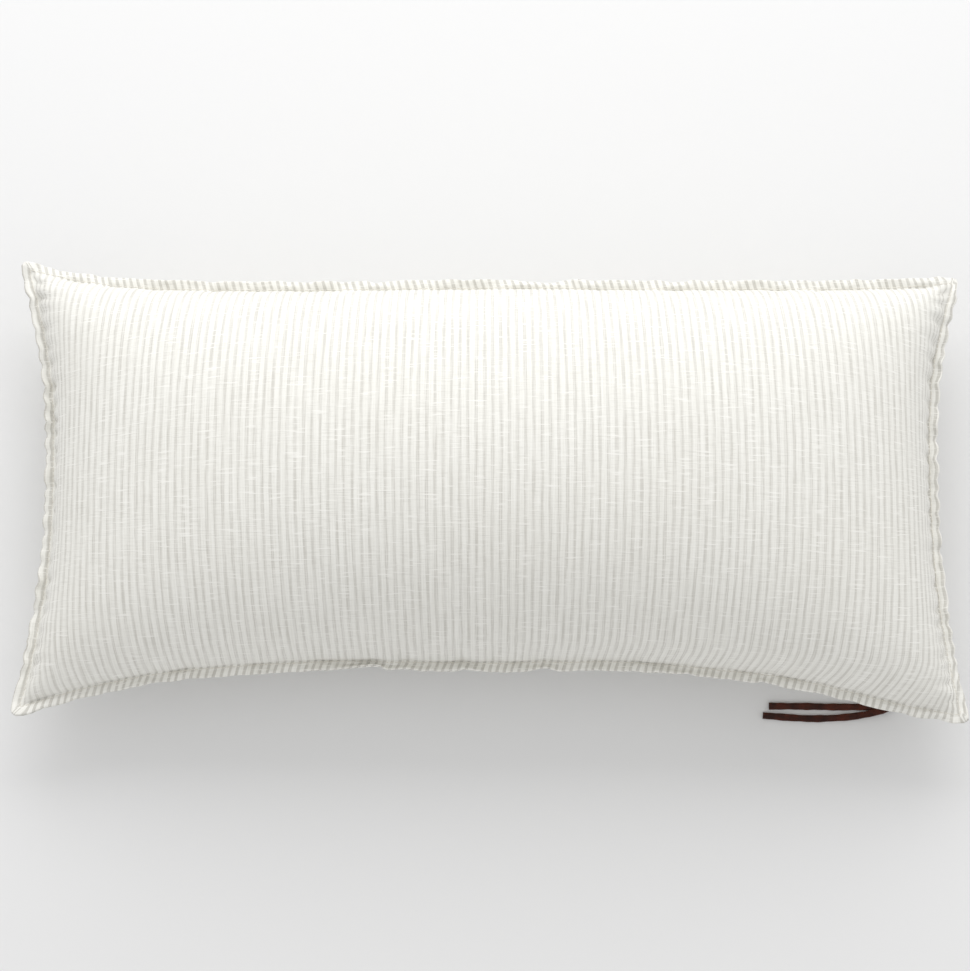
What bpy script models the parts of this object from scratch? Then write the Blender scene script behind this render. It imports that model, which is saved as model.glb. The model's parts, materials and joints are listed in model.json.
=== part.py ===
"""A lumbar throw pillow: a flanged cover with a coil zip, round an insert, and a lace on the zip's puller.

+X runs along the pillow, +Y across it and +Z up. The origin is the middle of the face that it rests on.
The zip lies under the long edge at -Y, in a flat band of the back that leans out by ZIP_TILT.
All lengths are in metres.
"""

import math
from collections import namedtuple

import bmesh
import bpy
import numpy as np
from mathutils import Matrix, Vector

# Driving dimensions of the cover
LENGTH = 0.600
WIDTH = 0.288
THICKNESS = 0.142
FLANGE = 0.007
CLOTH = 0.0010
SEAM_HEIGHT = 0.062
SEAM_DROP = 0.014
END_BOW = 0.020
ZIP_EDGE_BOW = 0.031
FAR_EDGE_BOW = 0.021
REST_WIDTH = 0.100
SEAM_GAP = 0.0003

# Powers that shape the curves
END_BOW_POWER = 2.5
EDGE_BOW_POWER = 3.5
SEAM_DROP_POWER = 2.5
CROWN_POWER_X = 3.0
CROWN_POWER_Y = 2.1
REST_LIFT_START = 0.72

# Insert, inside the cover
INSERT_CLEARANCE = 0.0012
INSERT_RIM_CLEARANCE = 0.0030
INSERT_CLOTH = 0.0006
FILLING_CLEARANCE = 0.0004
FILLING_RIM_CLEARANCE = 0.0020
HALVES_OVERLAP = 0.0006
LABEL_THICKNESS = 0.0005
LABEL_CLEARANCE = 0.00035

# Zip
ZIP_TILT = math.radians(45)
ZIP_INSET = 0.016
ZIP_HEIGHT = 0.022
ZIP_SETBACK = 0.044
ZIP_BAND = 0.034
ZIP_OPENING_END = 0.004
CHAIN_WIDTH = 0.0060
CHAIN_HEIGHT = 0.0020
COIL_GAP = 0.0011
TAPE_WIDTH = 0.0138
TAPE_THICKNESS = 0.0006
TAPE_UNDERLAP = 0.0018
TAPE_END = 0.005
STOP_LENGTH = 0.0032
BOTTOM_STOP_LENGTH = 0.0050
FIT_GAP = 0.0003

# Slider
SLIDER_LENGTH = 0.012
SLIDER_FLANGE = 0.0011
SLIDER_PLATE = 0.0012
SLIDER_WEB = 0.0005
SLIDER_WEB_LENGTH = 0.004
SLIDER_GAP = 0.0004
SLIDER_DENT = 0.0020
SLIDER_CORNER = 0.0018
SLIDER_SIDE_ROOM = 0.0005
SLIDER_FLANGE_STEP = 0.00005
BRIDGE_THICKNESS = 0.0011
BRIDGE_WIDTH = 0.0026
BRIDGE_HOLE = 0.0046

# Pull tab, which turns on a round bar under the slider's bridge
TAB_LEAN = math.radians(38)
TAB_BAR = 0.0012
TAB_THICKNESS = 0.0012
TAB_WIDTH = 0.0076
TAB_REACH = 0.0172
TAB_CORNER = 0.0022
TAB_SLOT_WIDTH = 0.0052
TAB_SLOT_LENGTH = 0.0034
TAB_TIP_BAR = 0.0015

# Leather lace, hitched round the bar at the tab's tip
LACE_WIDTH = 0.0040
LACE_THICKNESS = 0.0018
LACE_LEAN = math.radians(60)
HITCH_CLEARANCE = 0.0004
HITCH_LENGTH = 0.0045
HITCH_STEPS = 20
HITCH_BLOCK_LAP = 0.0006
HITCH_BLOCK_SPARE_WIDTH = 0.0001
HITCH_BLOCK_SPARE_THICKNESS = 0.0004
LACE_POINT_SPACING = 0.0032
LACE_UNTWISTS_BY = 8
ROUTE_STEPS = 24
# Points along each tail: X and Y from the hitch's end, and the height of the middle above the surface.
TAIL_LOW_ROUTE = [
    (0.0086, -0.0045, 0.0036),
    (0.0166, -0.0115, 0.0016),
    (0.0208, -0.0196, 0.00095),
    (0.0176, -0.0262, 0.00095),
    (0.0090, -0.0300, 0.00095),
    (-0.0110, -0.0307, 0.00095),
    (-0.0360, -0.0303, 0.00095),
    (-0.0589, -0.0301, 0.00095),
]
TAIL_HIGH_ROUTE = [
    (0.0094, -0.0036, 0.0062),
    (0.0182, -0.0106, 0.0040),
    (0.0232, -0.0199, 0.0032),
    (0.0204, -0.0290, 0.0030),
    (0.0112, -0.0334, 0.0028),
    (-0.0060, -0.0368, 0.0012),
    (-0.0286, -0.0381, 0.00095),
    (-0.0460, -0.0374, 0.00095),
    (-0.0628, -0.0361, 0.00095),
]

# Thread
THREAD = 0.0005
STITCH_INSET = 0.0012
ZIP_STITCH_INSET = 0.0030

# Rows across the front, as shares of the half width
FRONT_ROWS = [0.15, 0.43, 0.68, 0.87, 0.97, 1.0]
# The back's rows between the zip's edge and the zip band: its place across and up, its way in, and how far it
# follows the stitch line's inset
NEAR_ROW_ACROSS = 0.30
NEAR_ROW_UP = 0.60
NEAR_ROW_INWARD = (0.9, 0.4)
NEAR_ROW_RIM = 0.8
# Between the zip band and the face it rests on
UNDER_ROW_ACROSS = 0.5
UNDER_ROW_UP = 1 / 3
UNDER_ROW_INWARD = (0.3, 0.95)
# Across the face it rests on, as shares of its half width
REST_ROWS = [-1.0, -0.33, 0.33, 1.0]
# Up to the far edge, as turns of the cloth and how far each row follows the stitch line's inset
FAR_ROWS = [(math.radians(30), 0), (math.radians(62), 0.5)]
# Stations along the pillow: shares of the zip's opening, and of what is left past it
INNER_STATIONS = [0.0, 0.27, 0.50, 0.72, 0.89, 1.0]
OUTER_STATIONS = [0.0, 0.36, 0.70, 0.93, 1.0]
OPENING_CLOSES_IN = 0.020
# Columns of the back's grid, with the flange's, on the zip's side of its opening
BACK_SPLIT = 5

# Values that follow from the ones above
STITCH_X = LENGTH / 2 - FLANGE
STITCH_Y = WIDTH / 2 - FLANGE
ZIP_Y = -(STITCH_Y - ZIP_EDGE_BOW - ZIP_INSET)
ZIP_HALF = STITCH_X - END_BOW - ZIP_SETBACK
# Each surface of the nested shells: how far in from the stitch line, and how far below the outer face
COVER_OUTER = (0.0, 0.0)
COVER_INNER = (CLOTH, CLOTH)
CASE_OUTER = (CLOTH + INSERT_RIM_CLEARANCE, CLOTH + INSERT_CLEARANCE)
CASE_INNER = (CASE_OUTER[0] + INSERT_CLOTH, CASE_OUTER[1] + INSERT_CLOTH)
FILLING_OUTER = (CASE_INNER[0] + FILLING_RIM_CLEARANCE, CASE_INNER[1] + FILLING_CLEARANCE)
LABEL_OUTER = (CLOTH + LABEL_CLEARANCE,) * 2
LABEL_INNER = (CLOTH + LABEL_CLEARANCE + LABEL_THICKNESS,) * 2
TAPE_TOP = -(CLOTH + FIT_GAP)
TAPE_BOTTOM = TAPE_TOP - TAPE_THICKNESS
COIL_BOTTOM = TAPE_TOP + FIT_GAP
COIL_TOP = COIL_BOTTOM + CHAIN_HEIGHT
PLATE_BOTTOM = COIL_TOP + SLIDER_GAP
PLATE_TOP = PLATE_BOTTOM + SLIDER_PLATE
SLIDER_HALF_WIDTH = CHAIN_WIDTH / 2 + SLIDER_GAP + SLIDER_FLANGE
ZIP_OPENING = 2 * (SLIDER_HALF_WIDTH + SLIDER_SIDE_ROOM)
SLIDER_X = ZIP_HALF - STOP_LENGTH - SLIDER_GAP - SLIDER_LENGTH / 2
TAB_AXIS_HEIGHT = PLATE_TOP + SLIDER_GAP + TAB_BAR / 2
BRIDGE_BOTTOM = TAB_AXIS_HEIGHT + TAB_BAR / 2 + SLIDER_GAP
BRIDGE_TOP = BRIDGE_BOTTOM + BRIDGE_THICKNESS
HITCH_INNER = math.hypot(TAB_TIP_BAR, TAB_THICKNESS) / 2 + HITCH_CLEARANCE
HITCH_OUTER = HITCH_INNER + LACE_THICKNESS
HITCH_END = HITCH_OUTER + HITCH_LENGTH


def material(name, colour, roughness, metallic=0.0):
    made = bpy.data.materials.new(name)
    made.use_nodes = True
    shader = made.node_tree.nodes["Principled BSDF"]
    shader.inputs["Base Color"].default_value = (*colour, 1.0)
    shader.inputs["Roughness"].default_value = roughness
    shader.inputs["Metallic"].default_value = metallic
    made.diffuse_color = (*colour, 1.0)
    return made


def mix(a, b, share):
    return a + (b - a) * share


def object_from(name, points, faces, made_of, parent=None, matrix=None):
    """An object whose points are given in its own space, placed by matrix."""
    mesh = bpy.data.meshes.new(name)
    mesh.from_pydata([tuple(p) for p in points], [], faces)
    mesh.update()
    mesh.materials.append(made_of)
    item = bpy.data.objects.new(name, mesh)
    bpy.context.scene.collection.objects.link(item)
    place(item, parent, matrix)
    return item


def place(item, parent, matrix):
    item.parent = parent
    if matrix is not None:
        item.matrix_world = matrix


# The pillow's outline and its two faces. u and v run from -1 to 1 along X and Y.


def reach_x(v):
    return STITCH_X - END_BOW * (1 - abs(v) ** END_BOW_POWER)


def reach_y(u, side):
    bow = FAR_EDGE_BOW if side > 0 else ZIP_EDGE_BOW
    return STITCH_Y - bow * (1 - abs(u) ** EDGE_BOW_POWER)


def seam_height(u):
    return SEAM_HEIGHT - SEAM_DROP * abs(u) ** SEAM_DROP_POWER


def on_plan(u, v, inset):
    return u * (reach_x(v) - inset), v * (reach_y(u, v) - inset)


def stations():
    """Places along the pillow, with the zip's opening ending exactly on one of them."""
    opening = (ZIP_HALF + ZIP_OPENING_END) / reach_x(ZIP_Y / STITCH_Y)
    closed = opening + OPENING_CLOSES_IN
    half = [opening * share for share in INNER_STATIONS]
    half += [closed + (1 - closed) * share for share in OUTER_STATIONS]
    return [-u for u in half[:0:-1]] + half, opening, closed


STATIONS, OPENING_U, CLOSED_U = stations()


def front_point(u, v, layer, rim_rise):
    inset, depth = layer
    x, y = on_plan(u, v, inset)
    fullness = math.sqrt((1 - abs(u) ** CROWN_POWER_X) * (1 - abs(v) ** CROWN_POWER_Y))
    rise = THICKNESS - depth - SEAM_HEIGHT - SEAM_GAP / 2 - rim_rise
    return x, y, seam_height(u) + SEAM_GAP / 2 + rim_rise + rise * fullness


def front_sheet(layer, rim_rise=0.0, flange=False):
    """Grid of points over the front, with the flange's outer edge as one more ring if asked for."""
    rows = [-v for v in FRONT_ROWS[::-1]] + FRONT_ROWS
    grid = [[front_point(u, v, layer, rim_rise) for v in rows] for u in STATIONS]
    if flange:
        edge = [[on_plan(u, v, -FLANGE) for v in (-1, 1)] for u in STATIONS]
        ends = [[on_plan(u, v, -FLANGE) for v in rows] for u in (-1, 1)]
        grid = ringed(grid, edge, ends, SEAM_GAP / 2 + rim_rise)
    return np.array(grid)


def ringed(grid, edge, ends, rise):
    """Adds the flange's outer edge round a grid whose border is the stitch line."""
    heights = [seam_height(u) + rise for u in STATIONS]
    for row, (low, high), z in zip(grid, edge, heights, strict=True):
        row.insert(0, (*low, z))
        row.append((*high, z))
    corners = {(u, v): (*on_plan(u, v, -FLANGE), heights[0]) for u in (-1, 1) for v in (-1, 1)}
    for u, line, at in ((-1, ends[0], 0), (1, ends[1], len(grid) + 1)):
        whole = [(*p, heights[0]) for p in line]
        grid.insert(at, [corners[u, -1], *whole, corners[u, 1]])
    return grid


def opening_half(u):
    """Half the gap between the two back panels: the zip's opening, closing to a sewn joint past its ends."""
    past = min(max((abs(u) - OPENING_U) / (CLOSED_U - OPENING_U), 0), 1)
    return mix(ZIP_OPENING / 2, SEAM_GAP / 2, past)


# A row of the back at one station. inward is the way in from its outer face, rise_start is where the row
# begins to climb to the end seam, dent is its share of the slider's room, and rim how far it follows the
# stitch line's inset.
Row = namedtuple("Row", "y z inward_y inward_z rise_start dent rim", defaults=(0, 0))


def back_rows(u):
    """The back's rows at a station, from the zip's edge to the far edge."""
    rim = seam_height(u)
    near, far = -reach_y(u, -1), reach_y(u, 1)
    rest = REST_WIDTH / 2
    across = Vector((math.cos(ZIP_TILT), -math.sin(ZIP_TILT)))
    middle = Vector((ZIP_Y, ZIP_HEIGHT))
    outer_lip, inner_lip = middle - across * ZIP_BAND / 2, middle + across * ZIP_BAND / 2
    rows = [Row(near, rim, 1, 0, CLOSED_U)]
    fold = mix(near, outer_lip.x, NEAR_ROW_ACROSS), mix(rim, outer_lip.y, NEAR_ROW_UP)
    rows.append(Row(*fold, *NEAR_ROW_INWARD, CLOSED_U, rim=NEAR_ROW_RIM))
    half = opening_half(u)
    for shift, dent in ((-ZIP_BAND / 2, 0), (-half, 1), (half, 1), (ZIP_BAND / 2, 0)):
        point = middle + across * shift
        rows.append(Row(point.x, point.y, math.sin(ZIP_TILT), math.cos(ZIP_TILT), CLOSED_U, dent))
    under = mix(inner_lip.x, -rest, UNDER_ROW_ACROSS), inner_lip.y * UNDER_ROW_UP
    rows.append(Row(*under, *UNDER_ROW_INWARD, mix(REST_LIFT_START, CLOSED_U, UNDER_ROW_ACROSS)))
    for share in REST_ROWS:
        rows.append(Row(rest * share, 0, 0, 1, REST_LIFT_START))
    for turn, rim_share in FAR_ROWS:
        side, up = math.sin(turn), 1 - math.cos(turn)
        rows.append(Row(mix(rest, far, side), rim * up, -side, 1 - up, REST_LIFT_START, rim=rim_share))
    rows.append(Row(far, rim, -1, 0, CLOSED_U))
    return rows


END_ROWS = [row.y / STITCH_Y for row in back_rows(1)]


def back_point(u, index, layer, rim_drop, dent_depth):
    inset, depth = layer
    row = back_rows(u)[index]
    v = END_ROWS[index]
    rim = seam_height(u) - SEAM_GAP / 2 - rim_drop
    x = u * (reach_x(v) - inset)
    if index in (0, len(END_ROWS) - 1):
        return x, row.y + inset * row.inward_y, rim
    past = max((abs(u) - row.rise_start) / (1 - row.rise_start), 0)
    rise = 1 - math.sqrt(max(1 - past * past, 0))
    depth += row.dent * dent_depth * (1 - rise)
    sideways = mix(mix(depth, inset, row.rim) * row.inward_y, -inset * v, rise)
    return x, row.y + sideways, mix(row.z + depth * row.inward_z, rim, rise)


def back_sheet(layer, rim_drop=0.0, flange=False, dent_depth=0.0):
    rows = range(len(END_ROWS))
    grid = [[back_point(u, j, layer, rim_drop, dent_depth) for j in rows] for u in STATIONS]
    if flange:
        edge = [[on_plan(u, v, -FLANGE) for v in (-1, 1)] for u in STATIONS]
        ends = [[on_plan(u, END_ROWS[j], -FLANGE) for j in rows] for u in (-1, 1)]
        grid = ringed(grid, edge, ends, -SEAM_GAP / 2 - rim_drop)
    return np.array(grid)


def solid_between(name, upper, lower, made_of, parent):
    """A closed solid between two grids of points, which share rows and columns."""
    along, across = upper.shape[:2]
    points = np.concatenate([upper.reshape(-1, 3), lower.reshape(-1, 3)])
    count = along * across
    faces = []
    for i in range(along - 1):
        for j in range(across - 1):
            a, b = i * across + j, (i + 1) * across + j
            quad = [a, b, b + 1, a + 1]
            # The diagonals point at the four corners, so that a corner's last cell isn't flat.
            if points[quad][:, 0].mean() * points[quad][:, 1].mean() < 0:
                quad = quad[1:] + quad[:1]
            for corners in ((quad[0], quad[1], quad[2]), (quad[0], quad[2], quad[3])):
                faces.append(corners)
                faces.append(tuple(k + count for k in reversed(corners)))
    border = [i * across for i in range(along)]
    border += [(along - 1) * across + j for j in range(1, across)]
    border += [i * across + across - 1 for i in range(along - 2, -1, -1)]
    border += list(range(across - 2, 0, -1))
    for a, b in zip(border, border[1:] + border[:1], strict=True):
        faces.append((b, a, a + count))
        faces.append((b, a + count, b + count))
    return object_from(name, points, faces, made_of, parent)


def cover(root, linen):
    """The front, and the back in two pieces that part along the zip. Each carries its layer of the flange."""
    outer, inner = front_sheet(COVER_OUTER, CLOTH, True), front_sheet(COVER_INNER, 0, True)
    solid_between("cover_front", outer, inner, linen, root)
    outer, inner = back_sheet(COVER_OUTER, CLOTH, True), back_sheet(COVER_INNER, 0, True)
    solid_between("cover_back_zip_strip", inner[:, :BACK_SPLIT], outer[:, :BACK_SPLIT], linen, root)
    solid_between("cover_back_main", inner[:, BACK_SPLIT:], outer[:, BACK_SPLIT:], linen, root)


def insert(root, case_cloth, filling, label_cloth):
    upper = [front_sheet(layer) for layer in (CASE_OUTER, CASE_INNER, FILLING_OUTER)]
    lower = [back_sheet(layer, 0, False, SLIDER_DENT) for layer in (CASE_OUTER, CASE_INNER, FILLING_OUTER)]
    solid_between("insert_case_front", upper[0], upper[1], case_cloth, root)
    solid_between("insert_case_back", lower[1], lower[0], case_cloth, root)
    filling_solid(root, upper[2], lower[2], filling)
    labels(root, label_cloth)


def levelled(sheet, rise):
    """The sheet's points, moved up or down to the seam's height plus rise."""
    level = sheet.copy()
    level[..., 2] = np.array([seam_height(u) + rise for u in STATIONS])[:, None]
    return level


def filling_solid(root, upper, lower, made_of):
    """Each half is closed at the seam's height, because front and back have different rows.."""
    top = solid_between("insert_filling", upper, levelled(upper, -SEAM_GAP / 2), made_of, root)
    bottom = solid_between("filling_lower_half", levelled(lower, HALVES_OVERLAP), lower, made_of, root)
    join(top, bottom, "UNION")


def labels(root, made_of):
    """Blank labels between cover and insert: each lies on whole cells of the shells, so it follows them."""
    high, low = [back_sheet(layer)[1:4, 8:10] for layer in (LABEL_INNER, LABEL_OUTER)]
    solid_between("care_label", high, low, made_of, root)
    high, low = [front_sheet(layer)[-4:-1, 5:7] for layer in (LABEL_OUTER, LABEL_INNER)]
    solid_between("insert_label", high, low, made_of, root)


# Small solids


def prism(name, outline, low, high, made_of, parent=None, matrix=None):
    """A solid with this outline, anticlockwise in its own XY, between two heights."""
    count = len(outline)
    points = [(x, y, low) for x, y in outline] + [(x, y, high) for x, y in outline]
    faces = [tuple(range(count - 1, -1, -1)), tuple(range(count, 2 * count))]
    for i in range(count):
        after = (i + 1) % count
        faces.append((i, after, after + count, i + count))
    return object_from(name, points, faces, made_of, parent, matrix)


def box(name, low, high, made_of, parent=None, matrix=None):
    outline = [(low[0], low[1]), (high[0], low[1]), (high[0], high[1]), (low[0], high[1])]
    return prism(name, outline, low[2], high[2], made_of, parent, matrix)


def rounded(half_x, half_y, radius, steps=4):
    """An anticlockwise rectangle with round corners."""
    points = []
    for quarter, (side_x, side_y) in enumerate(((1, -1), (1, 1), (-1, 1), (-1, -1))):
        centre = Vector((side_x * (half_x - radius), side_y * (half_y - radius)))
        for step in range(steps + 1):
            angle = math.radians(90) * (quarter - 1 + step / steps)
            points.append(tuple(centre + radius * Vector((math.cos(angle), math.sin(angle)))))
    return points


def join(item, other, operation):
    """Adds a Boolean with a helper that is not itself part of the model."""
    other.hide_render = True
    other.display_type = "WIRE"
    change = item.modifiers.new(other.name, "BOOLEAN")
    change.operation = operation
    change.object = other
    change.solver = "EXACT"


def zip_matrix():
    """The zip band's own space: X along the pillow, Y down across the band, Z out of the cloth."""
    across = Vector((0, -math.cos(ZIP_TILT), math.sin(ZIP_TILT)))
    out = Vector((0, -math.sin(ZIP_TILT), -math.cos(ZIP_TILT)))
    turn = Matrix(((1, 0, 0), across, out)).transposed().to_4x4()
    return Matrix.Translation((0, ZIP_Y, ZIP_HEIGHT)) @ turn


def zip_chain(root, tape_cloth, coil_plastic, stop_metal, thread):
    """Two tapes, each with its coil, top stop and row of topstitching, and one bottom stop."""
    frame = zip_matrix()
    half = CHAIN_WIDTH / 2
    tape_y = (half - TAPE_UNDERLAP, half - TAPE_UNDERLAP + TAPE_WIDTH)
    stitch = ZIP_OPENING / 2 + ZIP_STITCH_INSET
    thread_z = (FIT_GAP, FIT_GAP + THREAD)
    reach = ZIP_HALF + TAPE_END
    coil_start = -ZIP_HALF + BOTTOM_STOP_LENGTH
    stop_start = ZIP_HALF - STOP_LENGTH
    chain_y = (COIL_GAP / 2, half)
    chain_z = (COIL_BOTTOM, COIL_TOP)
    # Each piece along X, across from the middle of the zip, and out of the cloth
    pieces = {
        "zip_tape": ((-reach, reach), tape_y, (TAPE_BOTTOM, TAPE_TOP), tape_cloth),
        "zip_coil": ((coil_start + FIT_GAP, stop_start - FIT_GAP), chain_y, chain_z, coil_plastic),
        "zip_top_stop": ((stop_start, ZIP_HALF), chain_y, chain_z, stop_metal),
        "zip_topstitch": ((-reach, reach), (stitch, stitch + THREAD), thread_z, thread),
    }
    for side, where in ((1, "upper"), (-1, "lower")):
        for name, (x, across, z, made_of) in pieces.items():
            low_y, high_y = sorted(side * y for y in across)
            box(f"{name}_{where}", (x[0], low_y, z[0]), (x[1], high_y, z[1]), made_of, root, frame)
    low, high = (-ZIP_HALF, -half, COIL_BOTTOM), (coil_start, half, COIL_TOP)
    box("zip_bottom_stop", low, high, stop_metal, root, frame)


def slider(carriage, metal):
    """Two plates with a thin web between the coils, flanges beside the chain, and a bridge for the tab."""
    frame = carriage.matrix_world
    half_x, half_y = SLIDER_LENGTH / 2, SLIDER_HALF_WIDTH
    outline = rounded(half_x, half_y, SLIDER_CORNER)
    body = prism("slider_body", outline, PLATE_BOTTOM, PLATE_TOP, metal, carriage, frame)
    overlap = SLIDER_PLATE / 2
    inner_top = TAPE_BOTTOM - FIT_GAP
    inner = prism("slider_inner_plate", outline, inner_top - SLIDER_PLATE, inner_top, metal, carriage, frame)
    join(body, inner, "UNION")
    pieces = {
        "web": (
            (half_x - SLIDER_FLANGE - SLIDER_WEB_LENGTH, -SLIDER_WEB / 2, inner_top - overlap),
            (half_x - SLIDER_FLANGE, SLIDER_WEB / 2, PLATE_BOTTOM + overlap),
        ),
        "bridge": (
            (-BRIDGE_HOLE / 2 - BRIDGE_THICKNESS, -BRIDGE_WIDTH / 2, PLATE_TOP - overlap),
            (BRIDGE_HOLE / 2 + BRIDGE_THICKNESS, BRIDGE_WIDTH / 2, BRIDGE_TOP),
        ),
    }
    flange_in, flange_out = half_y - SLIDER_FLANGE, half_y - SLIDER_FLANGE_STEP
    reach = half_x - SLIDER_CORNER
    for side, where in ((1, "upper"), (-1, "lower")):
        low_y, high_y = sorted((side * flange_in, side * flange_out))
        pieces[f"flange_{where}"] = (
            (-reach, low_y, TAPE_TOP + SLIDER_GAP),
            (reach, high_y, PLATE_BOTTOM + overlap),
        )
    for name, (low, high) in pieces.items():
        join(body, box(f"slider_{name}", low, high, metal, carriage, frame), "UNION")
    window = box(
        "slider_bridge_window",
        (-BRIDGE_HOLE / 2, -BRIDGE_WIDTH, PLATE_TOP),
        (BRIDGE_HOLE / 2, BRIDGE_WIDTH, BRIDGE_BOTTOM),
        metal,
        carriage,
        frame,
    )
    join(body, window, "DIFFERENCE")


def tab_matrix(slider_frame):
    """The tab's own space, on its axis: X along the tab, Y along the axis, Z out of its flat side."""
    lean = Matrix.Rotation(TAB_LEAN - math.radians(90), 4, "Y")
    return slider_frame @ Matrix.Translation((0, 0, TAB_AXIS_HEIGHT)) @ lean


def pull_tab(pivot, frame, metal):
    low_x, high_x = -TAB_BAR / 2, TAB_REACH + TAB_TIP_BAR / 2
    outline = rounded((high_x - low_x) / 2, TAB_WIDTH / 2, TAB_CORNER)
    outline = [(x + (high_x + low_x) / 2, y) for x, y in outline]
    half = TAB_THICKNESS / 2
    tab = prism("pull_tab", outline, -half, half, metal, pivot, frame)
    # The tab's ring passes over the slider's bridge at every angle.
    bridge_reach = math.hypot(BRIDGE_HOLE / 2 + BRIDGE_THICKNESS, BRIDGE_TOP - TAB_AXIS_HEIGHT)
    windows = {
        "bridge": (TAB_BAR / 2, bridge_reach + SLIDER_GAP, BRIDGE_WIDTH / 2 + SLIDER_GAP),
        "lace": (
            TAB_REACH - TAB_TIP_BAR / 2 - TAB_SLOT_LENGTH,
            TAB_REACH - TAB_TIP_BAR / 2,
            TAB_SLOT_WIDTH / 2,
        ),
    }
    for name, (start, end, side) in windows.items():
        hole = box(
            f"pull_tab_{name}_window",
            (start, -side, -TAB_THICKNESS),
            (end, side, TAB_THICKNESS),
            metal,
            pivot,
            frame,
        )
        join(tab, hole, "DIFFERENCE")


def lace_matrix(tab_frame):
    """The lace's own space, on the tip bar's axis: X along the lace where it leaves the hitch."""
    turn = Matrix.Rotation(LACE_LEAN - TAB_LEAN, 4, "Y")
    return tab_frame @ Matrix.Translation((TAB_REACH, 0, 0)) @ turn


def lace_hitch(pivot, frame, leather):
    """The lace's loop round the tip bar, and the block where its two tails come together."""
    shape = bmesh.new()
    half = LACE_WIDTH / 2
    corners = [(HITCH_INNER, -half), (HITCH_OUTER, -half), (HITCH_OUTER, half), (HITCH_INNER, half)]
    points = [shape.verts.new((x, y, 0)) for x, y in corners]
    edges = [shape.edges.new((points[i], points[(i + 1) % 4])) for i in range(4)]
    bmesh.ops.spin(
        shape,
        geom=points + edges,
        axis=(0, 1, 0),
        cent=(0, 0, 0),
        angle=math.radians(360),
        steps=HITCH_STEPS,
        use_merge=True,
    )
    bmesh.ops.remove_doubles(shape, verts=shape.verts, dist=1e-6)
    bmesh.ops.recalc_face_normals(shape, faces=shape.faces)
    mesh = bpy.data.meshes.new("lace_hitch")
    shape.to_mesh(mesh)
    shape.free()
    mesh.materials.append(leather)
    hitch = bpy.data.objects.new("lace_hitch", mesh)
    bpy.context.scene.collection.objects.link(hitch)
    place(hitch, pivot, frame)
    side = half + HITCH_BLOCK_SPARE_WIDTH
    thick = LACE_THICKNESS + HITCH_BLOCK_SPARE_THICKNESS
    low, high = (HITCH_INNER + HITCH_BLOCK_LAP, -side, -thick), (HITCH_END, side, thick)
    block = box("hitch_block", low, high, leather, pivot, frame)
    join(hitch, block, "UNION")


def smooth_route(points, spacing):
    """Evenly spaced points on a Catmull-Rom curve through the given ones."""
    ends = [points[0] * 2 - points[1], *points, points[-1] * 2 - points[-2]]
    fine = []
    for a, b, c, d in zip(ends, ends[1:], ends[2:], ends[3:], strict=False):
        for step in range(ROUTE_STEPS):
            t = step / ROUTE_STEPS
            square, cube = a * 2 - b * 5 + c * 4 - d, b * 3 - a - c * 3 + d
            fine.append((b * 2 + (c - a) * t + square * t**2 + cube * t**3) / 2)
    fine.append(points[-1])
    travelled = [0.0]
    for a, b in zip(fine, fine[1:], strict=False):
        travelled.append(travelled[-1] + (b - a).length)
    count = round(travelled[-1] / spacing)
    wanted = [travelled[-1] * i / count for i in range(count + 1)]
    return [Vector([float(np.interp(w, travelled, [p[k] for p in fine])) for k in range(3)]) for w in wanted]


def lace_tail(name, route, offset, pivot, frame, leather):
    """A flat lace along its route: it leaves the hitch turned with the bar, and lies flat on the surface."""
    start = frame @ Vector((HITCH_END + FIT_GAP, 0, offset))
    leave = frame @ Vector((HITCH_END + FIT_GAP + LACE_WIDTH / 2, 0, offset))
    exit_point = frame @ Vector((HITCH_END, 0, 0))
    points = [start, leave] + [Vector((exit_point.x + x, exit_point.y + y, z)) for x, y, z in route]
    points = smooth_route(points, LACE_POINT_SPACING)
    level = (points[1] - points[0]).cross(Vector((0, 0, 1)))
    twist = level.angle(frame.to_3x3() @ Vector((0, 1, 0)))
    twist = min(twist, math.pi - twist)
    curve = bpy.data.curves.new(name, "CURVE")
    curve.dimensions = "3D"
    curve.twist_mode = "Z_UP"
    curve.bevel_depth = LACE_THICKNESS / 2
    curve.bevel_resolution = 2
    curve.extrude = (LACE_WIDTH - LACE_THICKNESS) / 2
    curve.use_fill_caps = True
    spline = curve.splines.new("POLY")
    spline.points.add(len(points) - 1)
    for i, (point, place_of) in enumerate(zip(spline.points, points, strict=True)):
        point.co = (*place_of, 1)
        point.tilt = math.radians(90) - twist * max(1 - i / LACE_UNTWISTS_BY, 0) ** 2
    curve.materials.append(leather)
    tail = bpy.data.objects.new(name, curve)
    bpy.context.scene.collection.objects.link(tail)
    tail.parent = pivot
    tail.matrix_parent_inverse = pivot.matrix_world.inverted()


def flange_stitch(root, name, lift, thread):
    """A thread that runs round the flange just outside the stitch line."""
    inner, outer = -STITCH_INSET, -STITCH_INSET - THREAD
    walk = [(u, -1) for u in STATIONS] + [(1, v) for v in END_ROWS[1:-1]]
    walk += [(u, 1) for u in STATIONS[::-1]] + [(-1, v) for v in END_ROWS[-2:0:-1]]
    low, high = sorted((lift, lift + math.copysign(THREAD, lift)))
    points = []
    for u, v in walk:
        for inset, z in ((inner, low), (outer, low), (outer, high), (inner, high)):
            points.append((*on_plan(u, v, inset), seam_height(u) + z))
    faces = []
    for i in range(len(walk)):
        after = (i + 1) % len(walk)
        for k in range(4):
            other = (k + 1) % 4
            a, b, c, d = i * 4 + k, after * 4 + k, after * 4 + other, i * 4 + other
            faces += [(a, c, d), (a, b, c)]
    object_from(name, points, faces, thread, root)


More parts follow.
